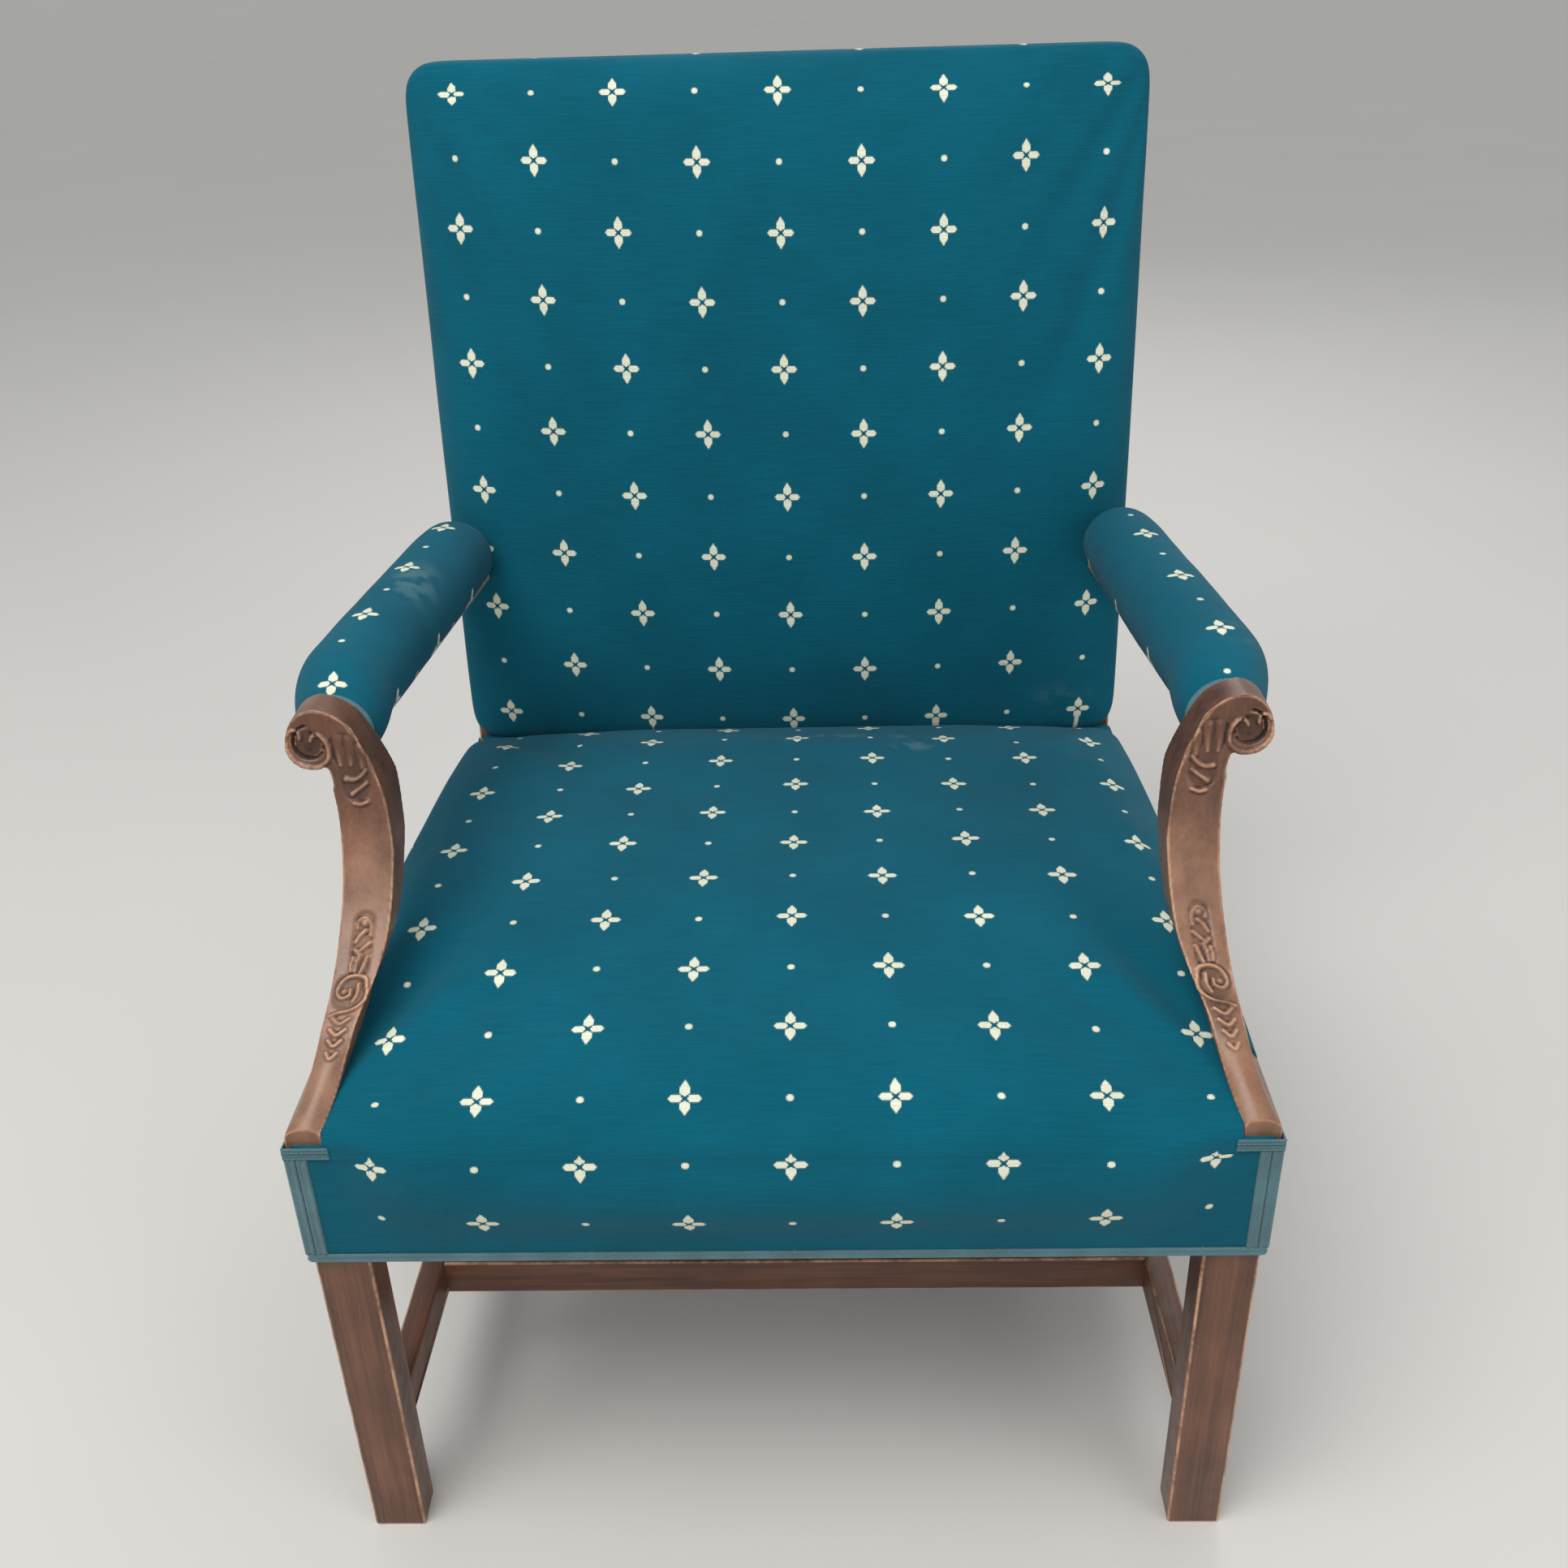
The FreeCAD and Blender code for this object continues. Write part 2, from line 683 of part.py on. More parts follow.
def corner_block(front):
    """Block in a front or rear corner, notched clear of the leg or post."""
    face = rail_thick if front else rear_rail_front
    way = 1 if front else -1
    corner_x = (front_rail_half if front else rear_rail_half) - block_gap
    corner_y = (leg_size if front else seat_depth) + way * block_gap
    reach_y = corner_y + way * (block_reach - leg_size / 2)
    side = [side_x(corner_y, rail_thick), side_x(reach_y, rail_thick)]
    points = [(corner_x - block_reach, face), (corner_x, face), (corner_x, corner_y),
              (side[0], corner_y), (side[1], reach_y)]
    return prism_z(points, block_bottom, block_bottom + block_height)


def block_screws(front):
    """One screw into the front or rear rail, and one into the side rail."""
    way = 1 if front else -1
    face = rail_thick if front else rear_rail_front
    corner_x = (front_rail_half if front else rear_rail_half) - block_gap
    z = block_bottom + block_height / 2
    first = placed(screw(screw_length), V(corner_x - block_reach / 2, face + way * block_pocket,
                                          z - screw_head), V(0, way, 0))
    y = (leg_size if front else seat_depth) + way * block_reach / 3
    second = placed(screw(screw_length), V(side_x(y, rail_thick + block_pocket), y,
                                           z + screw_head), V(-1, 0, 0))
    return [first, second]


def screw_ways(front):
    """The screws with the pockets that let their heads in."""
    way = 1 if front else -1
    ways = []
    for one, towards in zip(block_screws(front), (V(0, way, 0), V(-1, 0, 0))):
        ways.append(one)
        head = one.Placement.Base
        ways.append(Part.makeCylinder(screw_head / 2, block_reach, head, towards))
    return ways


# Webbing and hessian

def spread(count, half):
    """Middles of evenly spaced straps between -half and half."""
    step = 2 * half / count
    return [-half + step * (k + 0.5) for k in range(count)]


def seat_webbing():
    straps = []
    y0 = edge_margin
    y1 = rear_rail_back - edge_margin
    middle = (leg_size + seat_depth) / 2
    for y in spread(seat_web_count, (seat_depth - 2 * leg_size) / 2):
        half = side_x(middle + y + web_width / 2) - edge_margin
        straps.append(block(-half, half, middle + y - web_width / 2, middle + y + web_width / 2,
                            rail_top, rail_top + web_thick))
    for x in spread(seat_web_count, rear_rail_half):
        straps.append(block(x - web_width / 2, x + web_width / 2, y0, y1,
                            rail_top + web_thick, rail_top + 2 * web_thick))
    return straps


def seat_hessian():
    z0 = rail_top + 2 * web_thick
    y1 = seat_depth - clear
    points = [(side_x(edge_margin, edge_margin), edge_margin), (side_x(y1, edge_margin), y1),
              (-side_x(y1, edge_margin), y1), (-side_x(edge_margin, edge_margin), edge_margin)]
    sheet = prism_z(points, z0, z0 + hessian_thick)
    return sheet.cut(both(support_form(clear)))


def back_webbing():
    straps = []
    z0 = lower_rail_bottom + edge_margin
    z1 = frame_top - edge_margin
    for x in spread(back_web_count, rear_rail_half):
        straps.append(back_bar(z0, z1, -web_thick, 0.0, x - web_width / 2, x + web_width / 2))
    half = rear_half - edge_margin
    for z in spread(back_web_count, (z1 - z0 - back_rail_height) / 2):
        middle = (z0 + z1) / 2 + z
        straps.append(back_bar(middle - web_width / 2, middle + web_width / 2,
                               -2 * web_thick, -web_thick, -half, half))
    return straps


def back_hessian():
    half = rear_half - edge_margin
    sheet = back_bar(lower_rail_bottom + edge_margin, frame_top - edge_margin, -base_layers,
                     -2 * web_thick, -half, half)
    return sheet.cut(both(arm_way()))


# Seat stuffing and cover

def seat_wire(y, half, crown_z, bulge, grow):
    """Section across the seat above the rails: sides that swell, rolled edges, a low crown."""
    half += grow
    crown_z += grow
    edge_z = crown_z - seat_side_drop
    roll = min(seat_roll, roll_share * (edge_z - rail_top))
    out = half + bulge
    turn = roll * (1 - math.sqrt(0.5))
    right = [V(half, y, rail_top), V(out, y, edge_z - roll), V(out - turn, y, edge_z - turn),
             V(out - roll, y, edge_z)]
    left = [V(-q.x, y, q.z) for q in right]
    edges = [line(left[0], right[0]), line(right[0], right[1]), arc(right[1], right[2], right[3]),
             arc(right[3], V(0, y, crown_z), left[3]), arc(left[3], left[2], left[1]),
             line(left[1], left[0])]
    return Part.Wire(edges)


def seat_form(grow, bottom):
    """The whole stuffed shape of the seat, with its skirt down to a given height."""
    wires = []
    for depth, crown, swell in zip(seat_depth_shares, seat_crown_shares, seat_bulge_shares):
        y = seat_pad_depth * depth
        if depth == 0:
            y -= grow
        if depth == 1:
            y += grow
        wires.append(seat_wire(y, side_x(y), rail_top + seat_crown * crown, seat_bulge * swell,
                               grow))
    dome = Part.makeLoft(wires, True, True)
    y0 = seat_pad_depth - overrun
    y1 = seat_depth - clear
    y2 = rear_rail_back + grow
    half = rear_rail_half - clear
    rear = [(side_x(y1) + grow, y1), (half, y1), (half, y2)]
    tuck_half = [(side_x(y0) + grow, y0)] + rear
    tuck = prism_z(tuck_half + [(-x, y) for x, y in reversed(tuck_half)], rail_top,
                   rail_top + seat_tuck_height + grow)
    skirt_half = [(side_x(-grow) + grow, -grow)] + rear
    skirt = prism_z(skirt_half + [(-x, y) for x, y in reversed(skirt_half)], bottom, rail_top)
    return dome.fuse([tuck, skirt]).cut(both(foot_room(grow)))


def foot_room(grow):
    """Room above a support's foot, where the seat is cut back to the foot's inner face."""
    inward = cover - grow
    return block(front_half - support_foot_width - clear - inward, front_width, -front_width,
                 support_foot_long + clear + inward, support_foot_top - inward,
                 rail_top + 2 * seat_crown)


def seat_stuffing():
    form = seat_form(0.0, rail_bottom)
    layers = block(-front_width, front_width, -overrun, seat_depth + post_depth, 0,
                   rail_top + base_layers)
    return form.cut([layers] + both(support_form(clear)))


def seat_cover():
    outer = seat_form(cover, skirt_bottom)
    inner = seat_form(0.0, skirt_bottom - overrun)
    return outer.cut([inner] + both(leg_blank()) + both(support_form(clear)))


def bottom_cloth():
    inset = edge_margin
    y1 = rear_rail_back - edge_margin
    points = [(side_x(inset, inset), inset), (side_x(y1, inset), y1),
              (-side_x(y1, inset), y1), (-side_x(inset, inset), inset)]
    sheet = prism_z(points, rail_bottom - web_thick, rail_bottom)
    legs = block(front_rail_half - clear, front_width, -overrun, leg_size + clear,
                 -overrun, rail_top)
    posts = block(rear_rail_half - clear, front_width, seat_depth - clear,
                  rear_rail_back + post_depth, -overrun, rail_top)
    return sheet.cut(both(legs) + both(posts))


# Gimp: a flat braid along the cover's lower edge, up the front corners and under the feet

def gimp_run(y0, y1):
    """Braid along one side of the seat."""
    inner = [(side_x(y0) + cover, y0), (side_x(y1) + cover, y1)]
    outer = [(x + gimp_thick, y) for x, y in reversed(inner)]
    return prism_z(inner + outer, skirt_bottom, skirt_bottom + gimp_width)


def seat_gimp():
    front = -cover - gimp_thick
    z0 = skirt_bottom
    x1 = front_half + cover + gimp_thick
    bottom = block(-x1, x1, front, -cover, z0, z0 + gimp_width)
    side = gimp_run(-cover, seat_depth - clear)
    corner = block(x1 - gimp_width, x1, front, -cover, z0 + gimp_width, support_foot_top)
    foot_in = front_half - support_foot_width - gimp_width / 2
    foot = block(foot_in, x1 - gimp_width, front, -cover, support_foot_top - gimp_width,
                 support_foot_top)
    side_foot = block(front_half + cover + clear, x1 + clear, -cover, support_foot_long,
                      support_foot_top - gimp_width, support_foot_top)
    braid = bottom.fuse(both(side) + both(corner) + both(foot)).removeSplitter()
    rear_half_run = rear_rail_half - clear
    rear = block(-rear_half_run, rear_half_run, rear_rail_back + cover,
                 rear_rail_back + cover + gimp_thick, z0, z0 + gimp_width)
    return [braid, rear] + both(side_foot)


# Back stuffing and covers

def back_wire(z, half, crown, rear, grow):
    """Section across the back at height z: flat rear, rolled sides, low crown in front."""
    base = post_front(z)
    front = base - crown - grow
    edge = base - crown * back_edge_share - grow
    roll = min(back_side_roll, crown * back_edge_share)
    turn = roll * (1 - math.sqrt(0.5))
    right = [V(half, rear, z), V(half, edge + roll, z), V(half - turn, edge + turn, z),
             V(half - roll, edge, z)]
    left = [V(-q.x, q.y, z) for q in right]
    edges = [line(left[0], right[0]), line(right[0], right[1]), arc(right[1], right[2], right[3]),
             arc(right[3], V(0, front, z), left[3]), arc(left[3], left[2], left[1]),
             line(left[1], left[0])]
    return Part.Wire(edges)


def back_form(grow, beyond=0.0):
    """The stuffed shape of the back, out to a distance behind the posts' rear faces."""
    top_roll = []
    for turn, crown in zip(back_roll_turns, back_roll_shares):
        angle = math.radians(turn)
        z = back_top - back_corner + (back_corner + grow) * math.sin(angle)
        half = rear_half - back_corner + (back_corner + grow) * math.cos(angle)
        top_roll.append(back_wire(z, half, back_crown * crown, post_rear(z) + beyond, grow))
    upright = []
    for height, crown in zip(back_height_shares, back_crown_shares):
        z = back_bottom + (back_top - back_bottom) * height
        upright.append(back_wire(z, rear_half + grow, back_crown * crown, post_rear(z) + beyond,
                                 grow))
    return Part.makeLoft(upright + top_roll, True, True)


def arm_way():
    """Room for an arm rail where it passes through the stuffing and the cover."""
    return rail_bar(arm_rear - back_crown, post_reach, clear)


def back_stuffing():
    """A pad in front of the frame, and a roll along the top of it."""
    form = back_form(0.0)
    behind = back_bar(back_bottom - overrun, back_top + overrun, -base_layers, 2 * post_depth,
                      -rear_width, rear_width)
    over_frame = back_bar(frame_top, back_top + overrun, -base_layers, 2 * post_depth,
                          -rear_width, rear_width)
    return form.cut([behind] + both(arm_way())), form.common(over_frame)


def back_cover():
    shell = back_form(cover).cut(back_form(0.0, overrun))
    return shell.cut(both(arm_way()))


def outside_back():
    z0 = back_bottom
    z1 = back_top + cover
    half = rear_half + cover
    r = back_corner + cover
    turn = r * (1 - math.sqrt(0.5))
    panel = prism_x([(post_rear(z0), z0), (post_rear(z0) + panel_thick, z0),
                     (post_rear(z1) + panel_thick, z1), (post_rear(z1), z1)], -half, half)
    low, high = V(half, 0, z0), V(half, 0, z1 - r)
    top = V(half - r, 0, z1)
    middle = V(half - turn, 0, z1 - turn)
    flip = lambda q: V(-q.x, q.y, q.z)
    edges = [line(flip(low), low), line(low, high), arc(high, middle, top), line(top, flip(top)),
             arc(flip(top), flip(middle), flip(high)), line(flip(high), flip(low))]
    outline = Part.Face(Part.Wire(edges)).extrude(V(0, 2 * seat_depth, 0))
    return panel.common(outline)


# Arm pads

def pad_form(grow):
    wires = []
    for length, swell in zip(pad_length_shares, pad_swell_shares):
        y = arm_front + (arm_rear - arm_front) * length
        radius = (pad_radius + (pad_rear_radius - pad_radius) * length) * swell + grow
        wires.append(pad_wire(y, radius, arm_axis(y)))
    return Part.makeLoft(wires, True, True)


def arm_stuffing():
    return pad_form(0.0).cut(rail_bar(arm_front - overrun, post_reach))


def arm_cover_shell():
    return pad_form(arm_cover).cut([pad_form(0.0), rail_bar(arm_front - overrun, post_reach)])


def arm_gimp():
    band = pad_form(arm_cover + gimp_thick).cut([pad_form(arm_cover),
                                                 rail_bar(arm_front - overrun, post_reach)])
    keep = block(0, front_width, arm_front, arm_front + gimp_width, rail_top, frame_top)
    return band.common(keep)


def build():
    os.makedirs("parts", exist_ok=True)
    save_pair("front_leg", front_leg())
    save_pair("back_post", back_post())
    save("front_seat_rail", front_rail())
    save("rear_seat_rail", rear_rail())
    save_pair("side_seat_rail", side_rail())
    blocks, screws = [], []
    for front in (True, False):
        blocks += both(corner_block(front).cut(screw_ways(front)))
        for one in block_screws(front):
            screws += both(one)
    save("corner_blocks", *blocks)
    save("corner_block_screws", *screws)
    save_pair("side_stretcher", side_stretcher())
    save("cross_stretcher", cross_stretcher())
    save("rear_stretcher", rear_stretcher())
    save("back_top_rail", back_rail(*top_rail_z))
    save("back_lower_rail", back_rail(*lower_rail_z))
    save_pair("arm_rail", arm_rail())
    save("arm_screws", *both(arm_screw()))
    save_pair("arm_support", arm_support())
    save("seat_webbing", *seat_webbing())
    save("seat_hessian", seat_hessian())
    save("seat_stuffing", seat_stuffing())
    save("seat_cover", seat_cover())
    save("seat_gimp", *seat_gimp())
    save("bottom_cloth", bottom_cloth())
    save("back_webbing", *back_webbing())
    save("back_hessian", back_hessian())
    save("back_stuffing", *back_stuffing())
    save("back_cover", back_cover())
    save("outside_back_cover", outside_back())
    save_pair("arm_stuffing", arm_stuffing())
    save_pair("arm_cover", arm_cover_shell())
    save_pair("arm_gimp", arm_gimp())


build()
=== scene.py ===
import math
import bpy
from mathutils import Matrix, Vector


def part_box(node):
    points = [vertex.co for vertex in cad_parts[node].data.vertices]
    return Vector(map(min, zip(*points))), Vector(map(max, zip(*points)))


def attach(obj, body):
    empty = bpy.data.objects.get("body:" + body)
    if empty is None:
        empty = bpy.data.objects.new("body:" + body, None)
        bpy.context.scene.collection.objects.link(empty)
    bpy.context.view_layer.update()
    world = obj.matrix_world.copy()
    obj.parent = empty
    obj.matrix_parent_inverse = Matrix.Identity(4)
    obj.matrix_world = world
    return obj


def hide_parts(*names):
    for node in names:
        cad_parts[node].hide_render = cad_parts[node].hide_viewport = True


bl_info = {
    "name": "Open Armchair",
    "version": (1, 0, 0),
    "blender": (4, 5, 0),
    "location": "3D View > Sidebar > Armchair",
    "description": "Upholstery, carved mahogany and a plain studio for an open armchair",
    "category": "Object",
}

import bpy
import numpy as np
from mathutils import Matrix, Vector, noise

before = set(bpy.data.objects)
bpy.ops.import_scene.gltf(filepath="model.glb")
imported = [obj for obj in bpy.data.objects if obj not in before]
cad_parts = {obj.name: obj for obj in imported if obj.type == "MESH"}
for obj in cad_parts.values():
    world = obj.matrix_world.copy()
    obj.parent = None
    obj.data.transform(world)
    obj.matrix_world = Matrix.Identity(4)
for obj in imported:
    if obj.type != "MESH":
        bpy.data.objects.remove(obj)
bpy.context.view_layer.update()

BODY = "root"
SIDES = {"right": 1.0, "left": -1.0}

# Places read from the frame, in metres: the front is -Y, the sitter's middle line is X = 0
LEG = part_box("front_leg_right")
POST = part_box("back_post_right")
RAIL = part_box("side_seat_rail_right")
REAR_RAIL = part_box("rear_seat_rail")
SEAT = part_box("seat_cover")
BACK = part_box("back_cover")
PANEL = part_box("outside_back_cover")
LOW_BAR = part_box("back_lower_rail")
TOP_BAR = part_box("back_top_rail")
PAD_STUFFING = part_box("arm_stuffing_right")
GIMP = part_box("seat_gimp")
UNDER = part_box("bottom_cloth")

FRONT = LEG[0].y
FRONT_HALF = LEG[1].x
LEG_SIZE = LEG[1].x - LEG[0].x
RAIL_TOP = RAIL[1].z
REAR_HALF = POST[1].x
POST_INSIDE = POST[0].x
POST_FRONT = POST[0].y
SEAT_DEPTH = POST_FRONT - FRONT
COVER = FRONT - SEAT[0].y
BRAID_THICK = SEAT[0].y - GIMP[0].y
FOOT_TOP = GIMP[1].z
RAKE = (TOP_BAR[0].y - LOW_BAR[0].y) / (TOP_BAR[0].z - LOW_BAR[0].z)
REAR_RAKE = (PANEL[1].y - PANEL[0].y) / (PANEL[1].z - PANEL[0].z)

# Sizes of the upholstery and the carving that the frame doesn't give
CLEAR = 0.0004                  # air between pieces that only touch
FOOT_WIDTH = 0.024              # of a support's foot, across
FOOT_LONG = 0.070               # and from the front backwards
TUCK = 0.015                    # from the rails' top to the seat's top beside the posts
PAD_END_GAP = 0.028             # from the domed part of the seat to the back posts
LAYERS = 0.0034                 # thickness of webbing and hessian together
BACK_TUCK = 0.016               # how far the back hangs below its node's box
VOXEL = 0.0065                  # of the seat's and back's meshes
VOLUTE_RADIUS = 0.017           # its centre is as far in from the support's outer side
VOLUTE_DROP = 0.025             # and this far below its top
SUPPORT_VOXEL = 0.0009
SUPPORT_ROOM_VOXEL = 0.003      # of the tool that cuts a support's room out of the seat
SWELL_SHARE = 0.6               # of the swell that the forms leave to the stuffing
WEAVE_THREAD = 0.0011           # from thread to thread of the figured cloth
UNDER_INSET = 0.008             # from the side rails' faces to the dust cloth's edge
SIM_FRAMES = 20


def srgb(red, green, blue):
    """A colour as it looks on screen, from 0 to 255, as Blender's own linear colour."""
    def linear(value):
        share = value / 255
        return share / 12.92 if share <= 0.04045 else ((share + 0.055) / 1.055) ** 2.4
    return (linear(red), linear(green), linear(blue))


def colour_property(name, description, red, green, blue):
    return bpy.props.FloatVectorProperty(name=name, description=description, subtype="COLOR",
                                         size=3, min=0.0, max=1.0, default=srgb(red, green, blue))


def length_property(name, description, metres):
    return bpy.props.FloatProperty(name=name, description=description, default=metres,
                                   min=0.0, unit="LENGTH", precision=4)


class ArmchairCloth(bpy.types.PropertyGroup):
    """The woven cloth and its figure."""
    ground: colour_property("Ground", "Colour of the cloth", 4, 89, 108)
    figure: colour_property("Figure", "Colour of the woven flowers and dots", 224, 226, 202)
    braid: colour_property("Braid", "Colour of the gimp", 84, 120, 128)
    column: length_property("Column spacing", "From a flower to the dot beside it", 0.07088)
    back_row: length_property("Row spacing, back", "From row to row on the back", 0.05799)
    seat_row: length_property("Row spacing, seat", "From row to row on the seat", 0.0570)
    petal_long: length_property("Petal length", "From the middle of a flower to its top", 0.0124)
    petal_side: length_property("Side petal length", "From the middle of a flower to its side",
                                0.0108)
    dot: length_property("Dot", "Radius of a dot", 0.0020)


class ArmchairStuffing(bpy.types.PropertyGroup):
    """The stuffed forms."""
    seat_crown: length_property("Seat crown", "Highest point above the rails", 0.0807)
    seat_side_drop: length_property("Seat side drop", "Fall of the crown to the sides", 0.006)
    seat_roll: length_property("Seat roll", "Rounding of the seat's top edges", 0.036)
    seat_bulge: length_property("Side bulge", "Swell of the seat over the side rails", 0.004)
    front_bulge: length_property("Front bulge", "Swell of the front over the rail", 0.014)
    back_crown: length_property("Back crown", "Thickest stuffing in front of the posts", 0.0518)
    back_side_drop: length_property("Back side drop", "Fall of the crown to the sides", 0.0125)
    back_roll: length_property("Back roll", "Rounding of the back's front edges", 0.032)
    back_corner: length_property("Back corner", "Rounding of the top corners", 0.026)
    swell: length_property("Swell", "How far stuffing may push the cloth out", 0.006)
    pressure: bpy.props.FloatProperty(name="Pressure", default=4.0, min=0.0,
                                      description="Pressure of the stuffing on the cloth")


class ArmchairWood(bpy.types.PropertyGroup):
    """The mahogany, its rubbed arrises with their painted highlight, and its grime."""
    dark: colour_property("Dark", "Colour between the figure of the grain", 68, 39, 26)
    light: colour_property("Light", "Colour of the figure of the grain", 122, 78, 55)
    # worn: colour of the rubbed arrises, lighter also as a painted highlight
    worn: colour_property("Worn", "Colour of rubbed arrises", 204, 156, 122)
    grime: colour_property("Grime", "Colour of the hollows of the carving", 34, 22, 18)
    beech: colour_property("Beech", "Colour of the rails and blocks", 176, 138, 100)
    arris: length_property("Arris", "Rounding of the squared timber", 0.0022)


class ArmchairStudio(bpy.types.PropertyGroup):
    """The camera and the room."""
    floor: colour_property("Floor", "Colour of the floor", 214, 211, 205)
    focal: bpy.props.FloatProperty(name="Lens", description="Focal length on a 36 mm sensor",
                                   default=37.267, unit="CAMERA")
    pitch: bpy.props.FloatProperty(name="Pitch", description="How far the camera looks down",
                                   default=0.51323, unit="ROTATION")
    turn: bpy.props.FloatProperty(name="Turn", description="How far it looks to the left",
                                  default=0.033467, unit="ROTATION")
    roll: bpy.props.FloatProperty(name="Roll", description="How far it leans",
                                  default=-0.032457, unit="ROTATION")
    stand: bpy.props.FloatVectorProperty(name="Stand", description="Where the camera is",
                                         default=(0.0389, -1.1917, 1.1396), unit="LENGTH")


# Objects

def only(*objects):
    bpy.ops.object.select_all(action="DESELECT")
    for one in objects:
        one.select_set(True)
    bpy.context.view_layer.objects.active = objects[0]


def settle(name):
    """Gives the new primitive its name and puts its place into its mesh."""
    made = bpy.context.object
    made.name = made.data.name = name
    only(made)
    bpy.ops.object.transform_apply(location=True, rotation=True, scale=True)
    return made


def block(name, low, high):
    low, high = Vector(low), Vector(high)
    bpy.ops.mesh.primitive_cube_add(size=1, location=(low + high) / 2, scale=high - low)
    return settle(name)


def strip(name, runs, rows):
    """A flat grid over -1 to 1 each way, to be laid on something."""
    bpy.ops.mesh.primitive_grid_add(x_subdivisions=runs, y_subdivisions=rows, size=2)
    return settle(name)


def read_all(items, field, width=1, kind=np.int32):
    """One field of every vertex, edge, corner or face, as a flat array."""
    flat = np.empty(len(items) * width, kind)
    items.foreach_get(field, flat)
    return flat


def points_of(piece):
    return read_all(piece.data.vertices, "co", 3, np.float32).reshape(-1, 3).astype(float)


def normals_of(piece):
    flat = read_all(piece.data.vertex_normals, "vector", 3, np.float32)
    return flat.reshape(-1, 3).astype(float)


def move_to(piece, points):
    piece.data.vertices.foreach_set("co", np.ascontiguousarray(points, np.float32).ravel())
    piece.data.update()


def pick(piece, part, test):
    """Selects the vertices, edges or faces that pass a test, and nothing else."""
    mesh = piece.data
    for kind in (mesh.vertices, mesh.edges, mesh.polygons):
        kind.foreach_set("select", np.zeros(len(kind), bool))
    for one in getattr(mesh, part):
        one.select = test(one)
    modes = {"vertices": "VERT", "edges": "EDGE", "polygons": "FACE"}
    only(piece)
    bpy.ops.object.mode_set(mode="EDIT")
    bpy.ops.mesh.select_mode(type=modes[part])


def done():
    bpy.ops.object.mode_set(mode="OBJECT")


def round_edges(piece, test, offset, segments, **settings):
    """Bevels the edges whose two ends pass a test."""
    ends = piece.data.vertices
    pick(piece, "edges", lambda edge: test(*(ends[k].co for k in edge.vertices)))
    bpy.ops.mesh.bevel(offset=offset, segments=segments, affect="EDGES", **settings)
    done()


def with_all(piece, operator, **settings):
    """One edit-mode operator on the whole mesh."""
    only(piece)
    bpy.ops.object.mode_set(mode="EDIT")
    bpy.ops.mesh.select_all(action="SELECT")
    operator(**settings)
    done()


def finish_with(piece, kind, **settings):
    """Adds a modifier and applies it."""
    only(piece)
    modifier = piece.modifiers.new(kind.title(), kind)
    for name, value in settings.items():
        setattr(modifier, name, value)
    bpy.ops.object.modifier_apply(modifier=modifier.name)
    return piece


def cut(piece, *tools):
    for tool in tools:
        finish_with(piece, "BOOLEAN", operation="DIFFERENCE", object=tool, solver="MANIFOLD")
        bpy.data.objects.remove(tool)


def copy_of(node, name):
    """A welded copy of a CAD node's mesh."""
    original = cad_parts[node]
    mesh = original.data.copy()
    mesh.materials.clear()
    piece = bpy.data.objects.new(name, mesh)
    bpy.context.scene.collection.objects.link(piece)
    with_all(piece, bpy.ops.mesh.remove_doubles, threshold=0.00001)
    return piece


def flowing(at, places, values):
    """A smooth curve through given places, level beyond both ends."""
    places, values = np.asarray(places, float), np.asarray(values, float)
    slopes = np.gradient(values, places)
    span = np.clip(np.searchsorted(places, at) - 1, 0, len(places) - 2)
    run = places[span + 1] - places[span]
    t = np.clip((at - places[span]) / run, 0, 1)
    return ((1 + 2 * t) * (1 - t) ** 2 * values[span] + t * (1 - t) ** 2 * run * slopes[span]
            + t * t * (3 - 2 * t) * values[span + 1] + t * t * (t - 1) * run * slopes[span + 1])


def step_up(value, low, high):
    t = np.clip((value - low) / (high - low), 0, 1)
    return t * t * (3 - 2 * t)


def unevenness(points, size, seed):
    """Slow hand-made irregularity from -1 to 1 at each point."""
    shift = Vector((seed, 2.0 * seed, -seed))
    return np.array([noise.noise(Vector(p) / size + shift) for p in points])


def lumps(points, waves):
    """The lie of hand-laid stuffing, as a sum of waves: size, seed and height."""
    return sum(unevenness(points, size, seed) * height for size, seed, height in waves)


def smooth_faces(piece, degrees=40.0):
    only(piece)
    bpy.ops.object.shade_smooth_by_angle(angle=math.radians(degrees))


def stuff(piece, swell, pressure, held):
    """Inflates a closed form as cloth over stuffing, and caps how far a point may move."""
    start = points_of(piece)
    group = piece.vertex_groups.new(name="held")
    group.add([int(k) for k in np.flatnonzero(held(start))], 1.0, "REPLACE")
    scene = bpy.context.scene
    cloth = piece.modifiers.new("Cloth", "CLOTH")
    settings = cloth.settings
    settings.quality = 4
    settings.use_pressure = True
    settings.uniform_pressure_force = pressure
    settings.effector_weights.gravity = 0
    settings.vertex_group_mass = group.name
    cloth.point_cache.frame_start = 1
    cloth.point_cache.frame_end = SIM_FRAMES
    for number in range(1, SIM_FRAMES + 1):
        scene.frame_set(number)
    settled = piece.evaluated_get(bpy.context.evaluated_depsgraph_get())
    moved = points_of(settled) - start
    piece.modifiers.remove(cloth)
    scene.frame_set(1)
    reach = np.linalg.norm(moved, axis=1, keepdims=True)
    moved *= np.minimum(1, swell / np.maximum(reach, 1e-9))
    move_to(piece, start + moved)
    piece.vertex_groups.clear()


def fill_out(piece, settings, held):
    """The stuffing pass of a cushion: simulated, then smoothed and subdivided."""
    stuff(piece, settings.swell, settings.pressure, held)
    finish_with(piece, "SMOOTH", factor=0.5, iterations=6)
    finish_with(piece, "SUBSURF", levels=1, render_levels=1)


